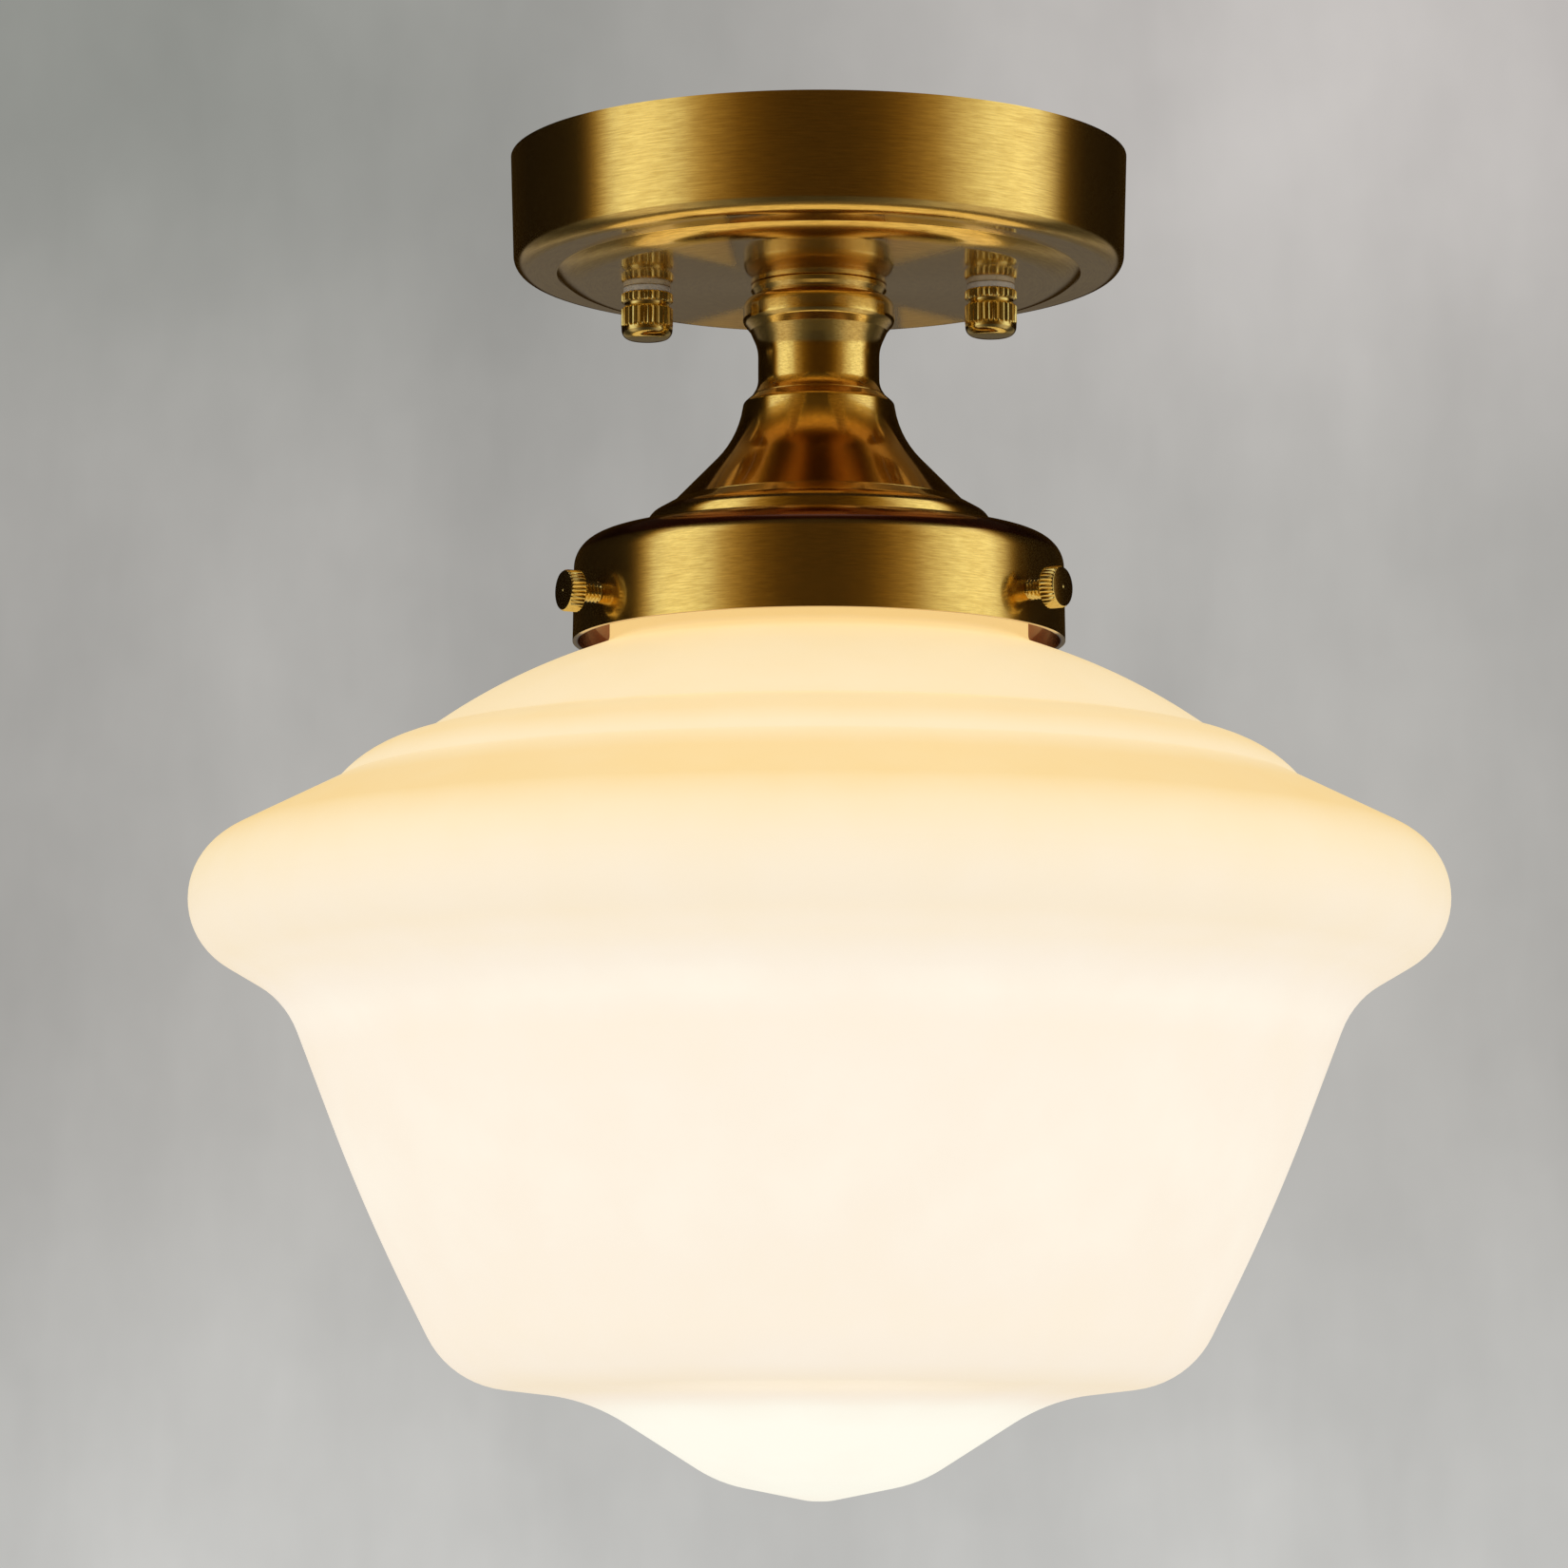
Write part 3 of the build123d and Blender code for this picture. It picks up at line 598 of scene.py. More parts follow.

# %% [markdown]
# Upward faces are painted a little darker, and the inside of the holder much darker: painted shade.

# %% Satin brass: painted shade on upward faces and inside the holder
inner_wall = stepped(tree, from_axis, 0.0491, 0.0489)
below_its_top = stepped(tree, upward, -0.0788, -0.0796)
under_holder = sums(tree, "MULTIPLY", inner_wall, below_its_top)
# painted shade: faces that look up are darkened for the dim things they mirror
upper_face_shade = vectors(tree, "MULTIPLY", brass_colour, (0.56, 0.41, 0.33))
looking_up = stepped(tree, facing, 0.15, 0.6, smooth=True)
brass_with_upper_shade = between(tree, looking_up, brass_colour, upper_face_shade)
# painted shade: the inside of the holder is painted dark red-brown
inside_holder_shade = (0.2, 0.045, 0.012, 1)
tree.links.new(between(tree, under_holder, brass_with_upper_shade, inside_holder_shade), shader["Base Color"])
print("finish: brushed_brass has", len(tree.nodes), "nodes")

# %% [markdown]
# ### Bright brass
#
# The cap nuts, thumb screws and the small electrical contacts are cut from drawn brass bar and left
# bright. They have the same lines, finer, and a tighter shine.

# %% Bright brass
tree, shader = finish("plain_brass", (0.76, 0.6, 0.22), 1.0, 0.14)
marks = placed(tree, brushing, Line_Width=0.0002, Line_Breaks=6.0, Band_Share=0.2)
dark, light, rough = (0.66, 0.5, 0.16), (0.84, 0.68, 0.28), (0.17, 0.11)
textured(tree, shader, marks, dark, light, rough, 0.000006)
print("finish: plain_brass")

# %% [markdown]
# ### Opal glass, lit from inside
#
# Opal glass is white all through and scatters the bulb's light. Tracing that light through the wall
# takes thousands of samples, so the wall glows by itself instead, by the rule that light follows: a
# point is brighter the nearer it is to the bulb and the squarer it faces it. The lampholder shades
# the upper part.

# %% Opal glass: the bulb's direct light
bulb_middle = (0, 0, -0.1706)
bulb_reach = 0.1                    # metres at which the direct light counts as 1
tree, shader = finish("opal_glass", (0.5, 0.48, 0.43), 0.0, 0.4, Specular_IOR_Level=0.12, IOR=1.5)
point = object_place(tree)
from_bulb = vectors(tree, "SUBTRACT", point, bulb_middle)
towards = vectors(tree, "NORMALIZE", from_bulb)
outwards = put(tree, "NewGeometry").outputs["Normal"]
squareness = vectors(tree, "DOT_PRODUCT", towards, outwards).outputs["Value"]
squareness = sums(tree, "ABSOLUTE", squareness)
nearness = sums(tree, "POWER", sums(tree, "DIVIDE", bulb_reach, length(tree, from_bulb)), 2.0)
shaded = stepped(tree, split(tree, towards)["Z"], 0.0, 1.0, 1.0, 0.5)
direct = sums(tree, "MULTIPLY", sums(tree, "MULTIPLY", squareness, nearness), shaded)
print("finish: opal_glass, lit from", bulb_middle)

# %% [markdown]
# Most of the light has been thrown back and forth inside the shade before it leaves. Each band of
# the shade gathers its own share: little at the creases under the holder, most in the bowl below
# the shoulder and in the drop. A ramp over the depth holds those shares, and a milky cloudiness
# keeps it from looking airbrushed.

# %% Opal glass: the light that the shade throws back to itself
# depth below the ceiling in millimetres, and the share there
thrown_back = [
    (98, 0.08), (104, 0.22), (110, 0.29), (119, 0.33), (124, 0.25), (128, 0.38), (133, 0.24),
    (140, 0.26), (146, 0.41), (152, 0.51), (158, 0.6), (167, 0.69), (175, 0.65), (184, 0.58),
    (246, 0.58), (250.5, 0.5), (254, 0.63), (259, 0.69), (270, 0.69),
]
first, last = thrown_back[0][0], thrown_back[-1][0]
down_the_shade = stepped(tree, split(tree, point)["Z"], -first * mm, -last * mm)
shares = [((deep - first) / (last - first), (share,) * 3) for deep, share in thrown_back]
filled = ramp(tree, down_the_shade, shares).outputs["Color"]
milkiness = placed(tree, grain, Grain_Size=0.02, Softness=0.8)
cloudy = stepped(tree, milkiness["Tone"], 0.3, 0.7, -0.02, 0.02)
gathered = sums(tree, "MULTIPLY_ADD", direct, 0.3, filled)
warm_to_white = stepped(tree, sums(tree, "ADD", gathered, cloudy), 0.34, 1.0)
print("light thrown back at", len(thrown_back), "depths")

# %% [markdown]
# Where there is little light it is also warmer. The brass mirrors the shade, and there the glow is
# held back, as an exposure made for the lamp would. What is left of the shine is a soft studio
# sheen.

# %% Opal glass: the colour of the glow
glass_stops_by_glow = [(0, (0.44, 0.36, 0.23)), (1, (0.5, 0.49, 0.46))]
glow_stops = [
    (0, (0.73, 0.51, 0.2)), (0.4, (0.75, 0.61, 0.38)), (0.8, (0.77, 0.68, 0.57)),
    (1, (0.82, 0.8, 0.7)),
]
in_mirrors = 0.8
# the base colour follows the painted glow too: warmer and darker where less light falls
glass_colour_by_glow = ramp(tree, warm_to_white, glass_stops_by_glow).outputs["Color"]
tree.links.new(glass_colour_by_glow, shader["Base Color"])
glow = ramp(tree, warm_to_white, glow_stops).outputs["Color"]
mirrored = put(tree, "LightPath").outputs["Is Glossy Ray"]
dimmed = scaled(tree, glow, stepped(tree, mirrored, 0.0, 1.0, 1.0, in_mirrors))
tree.links.new(dimmed.outputs[0], shader["Emission Color"])
shader["Emission Strength"].default_value = 1.0
relief = {"Strength": 1.0, "Distance": 0.00005, "Height": milkiness["Height"]}
tree.links.new(put(tree, "Bump", relief).outputs[0], shader["Normal"])
print("finish: opal_glass has", len(tree.nodes), "nodes")

# %% [markdown]
# ### The hidden metals
#
# What the canopy hides is plain hardware: bright zinc plating on the strap, screws and nuts, green
# dye on the ground screw so nobody mistakes it, a grey bead of solder, and the bulb's tungsten
# wire. Plating is spotty rather than brushed, so these use the soft grain. The bulb's cap is rolled
# aluminium, which keeps its lines.

# %% Plated and plain hardware
# each one's dark and light colour, roughness on dark and on light, and grain in metres
hardware = {
    "zinc_steel": ((0.55, 0.56, 0.58), (0.72, 0.73, 0.74), (0.38, 0.24), 0.0008),
    "green_steel": ((0.05, 0.33, 0.13), (0.1, 0.48, 0.22), (0.4, 0.28), 0.0008),
    "solder": ((0.5, 0.5, 0.5), (0.68, 0.68, 0.68), (0.5, 0.35), 0.0006),
    "tungsten": ((0.24, 0.24, 0.25), (0.36, 0.36, 0.37), (0.45, 0.35), 0.0003),
}
hardware_relief = 0.000008
for slot, (dark, light, rough, size) in hardware.items():
    tree, shader = finish(slot, light, 1.0, rough[1])
    marks = placed(tree, grain, Grain_Size=size, Softness=0.5)
    textured(tree, shader, marks, dark, light, rough, hardware_relief)

dark, light, rough = (0.7, 0.7, 0.7), (0.86, 0.86, 0.86), (0.3, 0.2)
tree, shader = finish("cap_aluminium", (0.8, 0.8, 0.8), 1.0, 0.22)
marks = placed(tree, brushing, Line_Width=0.0003, Line_Breaks=3.0, Band_Share=0.3)
textured(tree, shader, marks, dark, light, rough, hardware_relief)
print("finishes:", ", ".join(hardware), "and cap_aluminium")

# %% [markdown]
# ### Porcelain, plastics and the bulb's glass
#
# The lampholder is glazed porcelain: white, glossy, and a little uneven where the glaze pooled. The
# leads have smooth sleeves, the wire connectors are moulded, and the washers under the cap nuts are
# natural nylon. The bulb's globe is frosted and lit.

# %% Porcelain, plastics and lamp glass
# as above, and the relief's height in metres
moulded = {
    "porcelain": ((0.88, 0.87, 0.83), (0.94, 0.93, 0.9), (0.16, 0.08), 0.006, 0.00002),
    "clear_nylon": ((0.58, 0.56, 0.52), (0.7, 0.68, 0.64), (0.42, 0.3), 0.0015, 0.00001),
    "black_insulation": ((0.022,) * 3, (0.038,) * 3, (0.48, 0.36), 0.001, 0.00001),
    "white_insulation": ((0.8, 0.79, 0.76), (0.88, 0.87, 0.84), (0.48, 0.36), 0.001, 0.00001),
    "connector_plastic": ((0.78, 0.3, 0.07), (0.88, 0.38, 0.11), (0.4, 0.28), 0.0012, 0.00001),
    "cap_glass": ((0.02, 0.015, 0.02), (0.045, 0.03, 0.045), (0.12, 0.06), 0.002, 0.00001),
    "frosted_glass": ((0.95, 0.94, 0.91), (0.98, 0.97, 0.94), (0.55, 0.45), 0.0008, 0.000005),
}
moulded_shaders = {}
for slot, (dark, light, rough, size, depth) in moulded.items():
    tree, shader = finish(slot, light, 0.0, rough[1])
    marks = placed(tree, grain, Grain_Size=size, Softness=0.6)
    textured(tree, shader, marks, dark, light, rough, depth)
    moulded_shaders[slot] = shader
moulded_shaders["porcelain"]["Coat Weight"].default_value = 0.6
moulded_shaders["frosted_glass"]["Emission Color"].default_value = (1.0, 0.82, 0.58, 1)
moulded_shaders["frosted_glass"]["Emission Strength"].default_value = 0.9
finish("clear_glass", (0.9, 0.95, 0.93), 0.0, 0.02, Transmission_Weight=1.0, IOR=1.5)
print("finishes:", ", ".join(moulded), "and clear_glass")

# %% [markdown]
# ## Outlines with rounded corners
#
# A lathe operator works from a drawn outline: a few corners, each with its own round. The helper
# below turns such a drawing, in millimetres from the axis and from the ceiling, into a fine line
# with true arcs. A Bevel modifier could round the corners after the mesh is made, but one drawing
# per piece keeps the sizes where they can be read.

# %% Draw an outline
arc_step = math.radians(6)          # an arc's segments turn no more than this
arc_chord = 2.0                     # and are no longer than this, in millimetres


def corner_turn(before, here, after):
    """The unit directions into and out of a corner, and the signed angle between them."""
    into = (Vector(here[:2]) - Vector(before[:2])).normalized()
    out = (Vector(after[:2]) - Vector(here[:2])).normalized()
    return into, out, math.atan2(into.x * out.y - into.y * out.x, into.dot(out))


def rounded(corners):
    """Points along the outline. A corner is (radius, height) or (radius, height, round)."""
    points = [Vector(corners[0][:2])]
    for before, here, after in zip(corners, corners[1:], corners[2:]):
        into, out, turn = corner_turn(before, here, after)
        size = here[2] if len(here) > 2 else 0
        if size == 0 or abs(turn) < 1e-4:
            points.append(Vector(here[:2]))
            continue
        start = Vector(here[:2]) - into * size * math.tan(abs(turn) / 2)
        side = Vector((-into.y, into.x)) * math.copysign(size, turn)
        by_angle, by_chord = abs(turn) / arc_step, size * abs(turn) / arc_chord
        steps = max(3, math.ceil(by_angle), math.ceil(by_chord))
        for step in range(steps + 1):
            points.append(start + side - Matrix.Rotation(turn * step / steps, 2) @ side)
    points.append(Vector(corners[-1][:2]))
    return points


example = rounded([(0, 0), (9, 0, 3), (9, 9)])
print("outline helper ready: a corner with a round of 3 becomes", len(example) - 2, "points")

# %% [markdown]
# A spun or blown piece is a wall of even thickness. Its inner side is the same drawing moved by one
# wall, with inner rounds that are smaller or larger by as much. A Solidify modifier would do it to
# the mesh, but the drawing keeps the arcs true.

# %% Draw the inner side of a wall
def inside(corners, wall, first, last):
    """The outline one wall away to its left, or right if negative, between first and last."""
    moved = [first]
    for before, here, after in zip(corners, corners[1:], corners[2:]):
        into, out, turn = corner_turn(before, here, after)
        left, next_left = Vector((-into.y, into.x)), Vector((-out.y, out.x))
        at = Vector(here[:2]) + (left + next_left) * wall / (1 + left.dot(next_left))
        size = here[2] if len(here) > 2 else 0
        if size:
            size = max(0.0, size - math.copysign(wall, turn * wall))
        moved.append((at.x, at.y, size))
    return moved + [last]


print("outline helper ready: inside")

# %% [markdown]
# ## From an outline to a finished piece
#
# A turned piece is its outline's points, each made into a ring. Weighted normals then let the large
# faces rule the shading, so flats stay flat beside their rounded edges. Last, a piece gets its
# finish, moves with its body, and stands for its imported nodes.

# %% Turn a piece and fit it
def turned(name, corners, steps=160, closed=True, crease=35):
    """A piece turned from a closed outline, or from one that starts and ends on the axis."""
    return skin(name, [ring(point.x, point.y, steps) for point in corners], closed, crease)


def even_shading(piece):
    """Let large faces rule the shading."""
    made = piece.modifiers.new("even_shading", "WEIGHTED_NORMAL")
    made.keep_sharp = True
    return piece


def fit(piece, body, slot, *nodes):
    """Give a piece its finish, let it move with its body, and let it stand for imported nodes."""
    piece.data.materials.clear()
    piece.data.materials.append(finishes[slot])
    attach(piece, body)
    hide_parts(*nodes)
    print(piece.name, "has", len(piece.data.polygons), "faces and rides on", body)
    return piece


print("piece helpers ready: turned, even_shading and fit")

# %% [markdown]
# ## Cutting holes
#
# The canopy has three holes and the shade holder four. On the real light they are punched after the
# spinning, and the same order works here: a plain round punch is taken out of the finished skin
# with a Boolean modifier, which is then applied so nothing of the punch is left.

# %% Punch holes
def stand(piece, origin, facing):
    """Put a piece at an origin in millimetres, turned by a quaternion."""
    piece.matrix_world = Matrix.Translation(origin * mm) @ facing.to_matrix().to_4x4()


def punched(piece, punches, crease=35):
    """Take the punches out of the piece."""
    for punch in punches:
        cut = piece.modifiers.new("punch", "BOOLEAN")
        cut.operation, cut.solver, cut.object = "DIFFERENCE", "EXACT", punch
    bpy.context.view_layer.update()
    evaluated = piece.evaluated_get(bpy.context.evaluated_depsgraph_get())
    mesh = bpy.data.meshes.new_from_object(evaluated)
    piece.modifiers.clear()
    piece.data = mesh
    smooth_over(mesh, crease)
    for punch in punches:
        bpy.data.objects.remove(punch)
    return piece


def punch_at(place, radius, reach, steps=48):
    """A round punch along the place's Z axis, from its origin up to its reach, in millimetres."""
    profile = [(0, 0), (radius, 0), (radius, reach), (0, reach)]
    made = skin("punch", [ring(out, along, steps) for out, along in profile])
    stand(made, place.to_translation(), place.to_quaternion())
    return made


print("punches ready: punched, punch_at and stand")

# %% [markdown]
# ## The canopy
#
# A pan spun from 1 mm brass sheet. Its wall draws in a little towards a soft lower corner, and a
# soft rounded step carries the middle disc below the ring round it. One closed outline, outer side
# and inner side, is turned round the axis. Then come the hole for the pipe and the two for the
# mounting screws.

# %% Spin the canopy
sheet = 1.0
spun_steps = 192
disc_z, outer_ring_z = -26.2, -23.7
stud_x = 34.925
pipe_hole, stud_clearance = 5.3, 2.383
canopy_outer = [
    (0, disc_z), (50.6, disc_z, 8.0), (53.2, outer_ring_z, 0.4), (61.9, outer_ring_z, 3.4),
    (62.6, 0),
]
canopy_inner = inside(canopy_outer, sheet, (0, disc_z + sheet), (62.6 - sheet, 0))
canopy_line = rounded(canopy_outer) + rounded(canopy_inner)[::-1]
canopy = turned("canopy_spinning", canopy_line, spun_steps, closed=False)
down = Matrix.Rotation(math.pi, 4, "X")
holes = ((0, pipe_hole), (-stud_x, stud_clearance), (stud_x, stud_clearance))
punches = [
    punch_at(Matrix.Translation((x, 0, disc_z + 3)) @ down, radius, 6) for x, radius in holes
]
fit(even_shading(punched(canopy, punches)), "fixture", "brushed_brass", "canopy")

# %% [markdown]
# ## The stem
#
# Three turned pieces are threaded on the pipe and clamped: a neck with a collar, a V groove, a
# bulge and a hollow waist, then a flaring bell with a thin rim, then a base ring with a sloping
# shoulder and an upright side. Each is its own piece on the real light, and the fine dark joints
# between them only look right when each is its own mesh.

# %% Turn the stem's three pieces
stem_bore = 5.15
neck_foot, bell_foot, stem_foot = -49.0, -71.4, -77.8
neck_outline = [
    (stem_bore, disc_z), (13.8, disc_z, 0.3),                       # top, against the disc
    (13.8, -27.3, 0.15), (13.2, -28.4, 0.1),                        # collar and V groove
    (15.4, -29.6, 2.6), (15.4, -33.8, 2.2), (13.9, -35.6, 0.15),    # bulge
    (12.3, -39.2, 8.0), (12.3, -47.0, 5.0),                         # hollow waist
    (13.6, neck_foot, 0.15), (stem_bore, neck_foot),
]
bell_outline = [
    (stem_bore, neck_foot), (13.6, neck_foot, 0.15), (15.3, -50.5, 1.4),
    (16.4, -57.7, 20), (29.9, bell_foot, 0.12),                     # outside of the flare
    (27.2, bell_foot), (15.0, -58.4, 14), (12.2, -53.0, 1.0),       # and its hollow inside
    (stem_bore, -53.0),
]
ring_outline = [
    (stem_bore, bell_foot), (30.2, bell_foot, 0.3), (34.8, -74.0, 3.0), (34.8, stem_foot, 0.12),
    (stem_bore, stem_foot),
]
stem = {"stem_neck": neck_outline, "stem_bell": bell_outline, "base_ring": ring_outline}
for node, outline in stem.items():
    piece = turned(node + "_turning", rounded(outline))
    fit(even_shading(piece), "fixture", "brushed_brass", node)

# %% [markdown]
# ## The shade holder
#
# A cup spun from the same sheet as the canopy, with a nearly flat top, a round shoulder and a
# straight skirt, and tapped for the three thumb screws.

# %% Spin the shade holder
skirt_foot = -99.2
stud_hole = 2.133
screw_z = -92.5
screw_bearings = {"front_left": -150, "front_right": -30, "back": 90}
holder_outer = [(0, stem_foot), (35.5, stem_foot, 3), (49.4, -78.7, 6), (49.7, skirt_foot)]
holder_inner = inside(holder_outer, -sheet, (0, -78.8), (48.7, skirt_foot))
holder_line = rounded(holder_outer) + rounded(holder_inner)[::-1]
holder = turned("shade_holder_spinning", holder_line, spun_steps, closed=False)


def outward(bearing_degrees):
    """A frame at the screws' level whose Z axis points away from the light's axis."""
    lay_down = Matrix.Rotation(math.radians(90), 4, "Y")
    swing = Matrix.Rotation(math.radians(bearing_degrees), 4, "Z")
    return Matrix.Translation((0, 0, screw_z)) @ swing @ lay_down


punches = [punch_at(Matrix.Translation((0, 0, -80.5)), pipe_hole, 5)]
punches += [punch_at(outward(angle), stud_hole, 56) for angle in screw_bearings.values()]
fit(even_shading(punched(holder, punches)), "fixture", "brushed_brass", "shade_holder")

# %% [markdown]
# ## The shade
#
# Blown in a mould: a neck with a lip that hangs on the thumb screws, a low dome, a crease, a bead
# and a second crease, a wide rolled shoulder, a waist, a long tapering bowl and a pointed drop.
# Every round is in the outline, because on glossy glass the eye reads the shape from how the light
# bends over those rounds. The skin runs from the lip over the outside to the tip and back up the
# inside to the neck's foot. The inner side of the neck, out of sight in the holder, stays open.

# %% Blow the shade
glass_wall = 3.0
lip_top, lip_low = -86.5, -90.267
neck_outside, neck_inside, lip_outside = 42.2, 39.2, 47.0
shade_steps = 224
# radius, drop below the lip's top, and round
glass_drops = [
    (neck_outside, 0), (neck_outside, 13.6, 3.0),                   # neck
    (64.6, 21.9, 120.0), (81.3, 33.6, 1.2),                         # dome and first crease
    (91.1, 35.3, 24.0), (97.2, 42.4, 1.2),                          # bead and second crease
    (126.2, 56.8, 14.2), (126.2, 74.0, 14.2),                       # shoulder
    (106.8, 85.4, 20.0), (90.6, 127.5, 400.0),                      # waist and bowl
    (73.4, 161.6, 19.0), (46.0, 164.8, 38.0),                       # the bowl's bottom
    (20.0, 181.3, 28.0), (2.0, 184.9, 12.0), (0, 184.9),            # drop
]
glass_outer = [(radius, lip_top - drop, *rest) for radius, drop, *rest in glass_drops]
tip_inside = (0, glass_outer[-1][1] + glass_wall)
inside_line = rounded(inside(glass_outer, -glass_wall, (neck_inside, lip_top), tip_inside))
lip = [
    (neck_inside, lip_low), (neck_inside, lip_top, 0.6), (lip_outside, lip_top, 1.4),
    (lip_outside, lip_low, 1.4), (neck_outside, lip_low),
]
outside_line = rounded(lip + glass_outer[1:])
print("shade outline points:", len(outside_line), "outside,", len(inside_line), "inside")
shade = turned("opal_shade", outside_line + inside_line[::-1][:-1], shade_steps, closed=False)
fit(even_shading(shade), "fixture", "opal_glass", "glass_shade")

# %% [markdown]
# ## Knurls
#
# A knurl is a row of V grooves rolled into a rim, so fingers can turn it. An Array modifier can
# make one, but leaves seams where it meets the rest of the screw. As rings, it is one closed skin:
# a knurl is a ring whose radius dips thirty times. A piece is drawn as a list of rings, and a third
# number says how deep a ring is marked.

# %% Cut knurls
ridges = 30
knurl_steps = 5 * ridges            # so each ridge falls on the same five points


def knurl(depth):
    """A ring shape with V grooves and narrow flat lands between them."""

    def shape(angle):
        place = (angle * ridges / (2 * math.pi) + 1e-6) % 1
        return -depth * max(0.0, 1 - abs(place - 0.6) / 0.4)

    return shape


def marked(profile, steps, marks):
    """Rings through (radius, height), or (radius, height, depth) where marks(depth) shapes one."""
    return [
        ring(radius, height, steps, marks(*depth) if depth else None)
        for radius, height, *depth in profile
    ]


print("shapes ready: knurl and marked, with", ridges, "ridges")

# %% [markdown]
# ## Threads
#
# A thread is one V groove that climbs as it goes round. A Screw modifier makes one too, but its
# ends are open cuts. Here it is a stack of rings with one dip each, a little further round every
# time, and the dip fades out at both ends as a real thread does.

# %% Cut threads
def thread(radius, pitch, start, end, steps, per_turn=8):
    """Rings of a threaded shank from height start to end, which may be lower."""
    depth = 0.54 * pitch
    count = max(2, round(abs(end - start) / pitch * per_turn))
    rings = []
    for i in range(count + 1):
        height = start + (end - start) * i / count
        fade = min(1.0, i / per_turn, (count - i) / per_turn)

        def groove(angle, height=height, fade=fade):
            place = (height / pitch - angle / (2 * math.pi)) % 1
            return -depth * fade * max(0.0, 1 - abs(place - 0.5) / 0.44)

        rings.append(ring(radius, height, steps, groove))
    return rings


print("shape ready: thread, with", len(thread(1, 1, 0, 3, 8)), "rings for three turns")

# %% [markdown]
# ## Cap nuts and washers
#
# Two cap nuts hold the canopy up on its mounting screws. Each has a short knurled collar, a plain
# groove, a long knurled grip and a shallow domed end. Between nut and canopy sits a nylon washer,
# so the lacquer isn't marked.

# %% Turn the cap nuts and their washers
washer_height = 1.2
sides = (("left", -stud_x), ("right", stud_x))
nut_profile = [
    (0, -7.4), (stud_hole, -7.4), (stud_hole, -0.3), (2.45, 0), (4.75, 0),              # hole
    (5.0, -0.06, 0.2), (5.25, -0.3, 0.44), (5.25, -1.7, 0.44), (4.95, -1.98, 0.15),     # collar
    (4.6, -2.05), (4.55, -2.15), (4.55, -2.85), (4.6, -2.95),                           # groove
    (4.95, -3.02, 0.15), (5.25, -3.3, 0.44), (5.25, -6.6, 0.44), (5.2, -7.0, 0.18),     # grip
    (5.2, -7.15),
]
dome = rounded([(5.2, -7.15), (5.1, -9.3, 1.9), (2.2, -9.56, 3.0), (0, -9.6)])
nut_rings = marked(nut_profile, knurl_steps, knurl)
nut_rings += [ring(point.x, point.y, knurl_steps) for point in dome[1:]]
washer_outline = [(2.233, 0), (4.8, 0, 0.2), (4.8, -washer_height, 0.2), (2.233, -washer_height)]
for side, x in sides:
    nut = skin(f"cap_nut_{side}_turning", nut_rings, crease=30)
    nut.location = (x * mm, 0, (disc_z - washer_height) * mm)
    fit(nut, f"cap_nut_{side}", "plain_brass", f"cap_nut_{side}")
    washer = turned(f"cap_washer_{side}_turning", rounded(washer_outline), 64)
    washer.location = (x * mm, 0, disc_z * mm)
    fit(even_shading(washer), f"cap_washer_{side}", "clear_nylon", f"cap_washer_{side}")

# %% [markdown]
# ## Thumb screws
#
# Three screws come in through the holder's skirt, under the lip of the glass. Each has a thin
# knurled head with a flat face and the lathe's centre mark in it, and a threaded shank that shows
# between the head and the holder.

# %% Turn the thumb screws
stud_radius, stud_pitch = 2.083, 0.794
screw_rings = marked([(0, 42.35), (1.45, 42.35), (1.7, 42.5)], knurl_steps, knurl)
screw_rings += thread(stud_radius, stud_pitch, 42.9, 53.4, knurl_steps, per_turn=6)
screw_head = [
    (stud_radius, 53.7), (3.75, 53.7), (3.95, 53.76, 0.15), (4.15, 53.95, 0.32),        # back
    (4.15, 56.5, 0.32), (4.0, 56.8, 0.1), (3.86, 56.96), (3.72, 57.0),                  # rim
    (0.35, 57.0), (0.22, 56.92), (0, 56.9),                                             # face
]
screw_rings += marked(screw_head, knurl_steps, knurl)
for name, angle in screw_bearings.items():
    screw = skin(f"thumb_screw_{name}_turning", screw_rings, crease=30)
    place = outward(angle)
    stand(screw, place.to_translation(), place.to_quaternion())
    fit(screw, f"thumb_screw_{name}", "plain_brass", f"thumb_screw_{name}")

# %% [markdown]
# ## Hex nuts
#
# Seen from the ceiling side, the light is all hardware. A hex nut is turned with its corners cut by
# a cone, which leaves the curved facets that every real nut has. A cylinder with six sides would
# miss them.

# %% Cut hexagons and nuts
hex_steps = 72
chamfer_land = 0.1                  # how far inside the flats the cone starts


def hexagon(flats):
    """A ring shape that turns a circle of half the width over the flats into a hexagon."""

    def shape(angle):
        place = (angle + math.pi / 6) % (math.pi / 3) - math.pi / 6
        return flats / 2 / math.cos(place) - flats / 2

    return shape


def cut_corners(flats, level, up):
    """A hexagonal ring whose corners a cone of 30 degrees has cut: up is 1 at the lower end."""
    points = ring(flats / 2, level, hex_steps, hexagon(flats))
    for point in points:
        beyond = math.hypot(point.x, point.y) - flats / 2 + chamfer_land
        point.z += up * beyond * math.tan(math.radians(30))
    return points


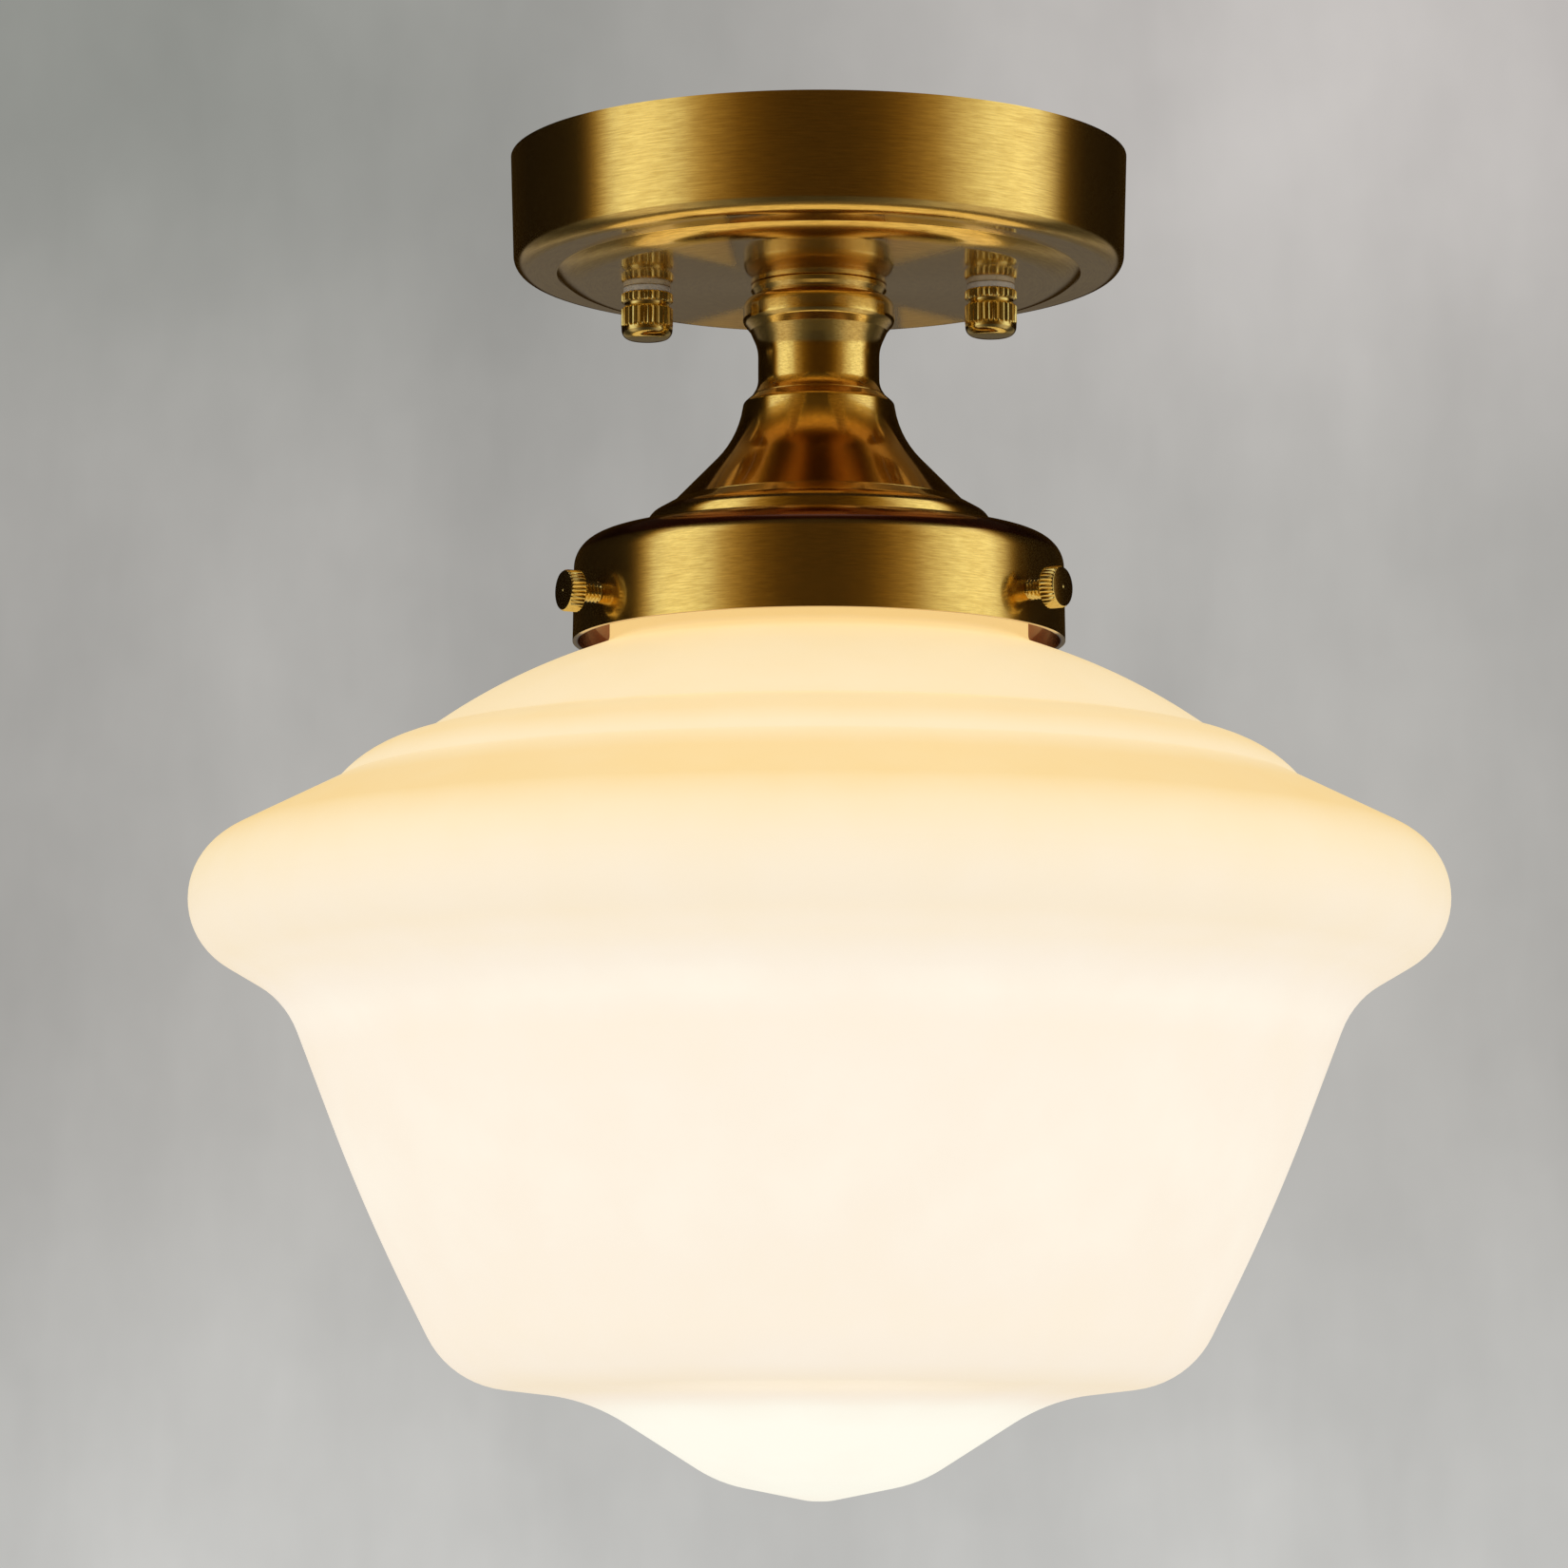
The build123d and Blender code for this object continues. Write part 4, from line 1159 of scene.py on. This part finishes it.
def hex_nut(name, flats, height, base, bore, x=0.0):
    """A hex nut from its base up, with a chamfered bore."""
    low, high, face = base, base + height, flats / 2 - chamfer_land
    lower = marked([(bore, low + 0.3), (bore + 0.3, low), (face, low)], hex_steps, None)
    upper = marked([(face, high), (bore + 0.3, high), (bore, high - 0.3)], hex_steps, None)
    corners = [cut_corners(flats, low, 1), cut_corners(flats, high, -1)]
    nut = skin(name, lower + corners + upper, closed=True, crease=25)
    nut.location.x = x * mm
    return nut


print("shapes ready: hexagon, cut_corners and hex_nut")

# %% [markdown]
# ## Mounting screws and their lock nuts
#
# Two long screws hang from the strap, each held by a lock nut, and the cap nuts turn on their ends.
# Each head has crossed slots, cut here as on the real screw, with a flat blade that goes through it
# twice.

# %% Turn and slot the mounting screws
screw_steps = 40
nut_height = 3.2
lock_flats, lock_bore = 8.7, 2.103


def blade(angle):
    """A box-shaped punch across the Z axis."""
    corners = ((-2.6, -0.5), (2.6, -0.5), (2.6, 0.5), (-2.6, 0.5))
    made = skin("slot", [[Vector((a, b, level)) for a, b in corners] for level in (1.2, 3)])
    face_outwards(made.data, close_holes=True)
    made.rotation_euler.z = math.radians(angle)
    return made


shank = thread(stud_radius, stud_pitch, -0.05, -33.8, screw_steps)
head = rounded([(stud_radius, 0), (4.0, 0, 0.2), (4.0, 2.4, 1.2), (0, 2.4)])
mounting_rings = [ring(0, -34.3, 1), ring(1.55, -34.3, screw_steps)] + shank[::-1]
mounting_rings += [ring(point.x, point.y, screw_steps) for point in head]
for side, x in sides:
    screw = skin(f"mounting_screw_{side}_turning", mounting_rings, crease=50)
    punched(screw, [blade(0), blade(90)], crease=50)
    screw.location.x = x * mm
    fit(screw, "fixture", "zinc_steel", f"mounting_screw_{side}")
    lock_nut = hex_nut(f"lock_nut_{side}_hex", lock_flats, nut_height, -5.2, lock_bore, x)
    fit(lock_nut, "fixture", "zinc_steel", f"lock_nut_{side}")

# %% [markdown]
# ## The pipe
#
# The threaded pipe carries the whole light. A nut and a washer hold it in the canopy, and a nut
# under the holder's top clamps the stem's pieces together.

# %% Thread the pipe and turn its nuts and washer
washer_low, washer_top = -25.2, -24.4
pipe_flats, pipe_nut_bore = 14.3, 5.02
for end, base in (("top", washer_top), ("bottom", -82.0)):
    pipe_nut = hex_nut(f"pipe_nut_{end}_hex", pipe_flats, nut_height, base, pipe_nut_bore)
    fit(pipe_nut, "fixture", "zinc_steel", f"nipple_nut_{end}")

pipe_bore, pipe_edge, pipe_radius, pipe_pitch, pipe_steps = 3.4, 4.6, 5.0, 0.941, 64
pipe_foot, pipe_top = -83.6, -18.9
pipe_rings = marked([(pipe_bore, pipe_foot), (pipe_edge, pipe_foot)], pipe_steps, None)
pipe_rings += thread(pipe_radius, pipe_pitch, -83.2, -19.3, pipe_steps, per_turn=6)
pipe_rings += marked([(pipe_edge, pipe_top), (pipe_bore, pipe_top)], pipe_steps, None)
pipe = skin("lamp_pipe", pipe_rings, closed=True, crease=50)
fit(pipe, "fixture", "zinc_steel", "nipple")
pipe_washer_outline = [
    (5.2, washer_low), (9.5, washer_low, 0.2), (9.5, washer_top, 0.2), (5.2, washer_top),
]
pipe_washer = turned("pipe_washer", rounded(pipe_washer_outline), 96)
fit(even_shading(pipe_washer), "fixture", "zinc_steel", "nipple_washer")

# %% [markdown]
# ## The ground screw
#
# Its hexagonal head has a built-in washer, and a short thread goes up through the strap. The head
# is the nut's hexagon again, with its corners cut on the lower side only.

# %% Make the ground screw
ground_x, ground_radius, ground_flats = 18, 2.4, 7.9
low_end = marked([(0, -5.2), (2.9, -5.2), (3.2, -5.55), (3.75, -5.6)], hex_steps, None)
head_top = ring(ground_flats / 2, -2.95, hex_steps, hexagon(ground_flats))
flange = [(4.9, -2.8), (5.2, -2.6), (5.2, -2.15), (5.05, -2.0), (2.42, -2.0)]
ground_rings = low_end + [cut_corners(ground_flats, -5.6, 1), head_top]
ground_rings += marked(flange, hex_steps, None)
ground_rings += thread(ground_radius, stud_pitch, -1.9, 2.6, hex_steps)
ground_rings += marked([(1.9, 3.0), (0, 3.0)], hex_steps, None)
ground = skin("ground_screw_turning", ground_rings, crease=28)
ground.location.x = ground_x * mm
fit(ground, "fixture", "green_steel", "ground_screw")

# %% [markdown]
# ## Wire connectors
#
# The leads end in screw-on connectors: a tapering cap of hard plastic, fluted so fingers grip it,
# with a smooth skirt at the mouth. The fluting is the knurl again with rounded dips.

# %% Mould the wire connectors
flutes = 12
connector_steps = 96


def fluted(depth):
    """A ring shape with rounded dips."""
    return lambda angle: -depth * (0.5 - 0.5 * math.cos(angle * flutes))


connector_profile = [
    (0, 8), (1.02, 8), (1.02, 0.6), (1.6, 0.0), (4.9, 0),           # hole for the lead
    (5.2, 0.3), (5.08, 3.0), (5.0, 3.6, 0.2),                       # skirt
    *((4.92 - 0.08 * i, 4.0 + i, 0.7) for i in range(14)),          # fluted taper
    (3.8, 18.2, 0.5), (3.6, 19.0, 0.2), (3.2, 19.7), (2.6, 20.0), (0, 20.0),
]
connector_rings = marked(connector_profile, connector_steps, fluted)
lead_x, lead_level = 1.15, -6.5     # where the leads leave the pipe's axis
mouth_reach = 22                    # from there to a connector's mouth
# colour of the lead, its side of the axis, and the bearing that it takes
for name, side, angle in (("black", -1, 115), ("white", 1, 65)):
    connector = skin(f"connector_{name}_moulding", connector_rings, crease=50)
    reach = Vector((math.cos(math.radians(angle)), math.sin(math.radians(angle)), 0))
    mouth = Vector((side * lead_x, 0, lead_level)) + reach * mouth_reach
    stand(connector, mouth, reach.to_track_quat("Z", "X"))
    fit(connector, "fixture", "connector_plastic", f"connector_{name}")

# %% [markdown]
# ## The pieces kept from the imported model
#
# The strap, the lampholder, the bulb and the leads already have their shapes. They keep their
# meshes and get their finishes through their material slots.

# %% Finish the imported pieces
for part in frame["record"]["subparts"]:
    node = frame["nodes"][part["node"]]
    for held in node.material_slots:
        held.material = finishes[part["material_slot"]]
kept = [name for name, node in frame["nodes"].items() if not node.hide_render]
print("kept from the packed model:", ", ".join(sorted(kept)))
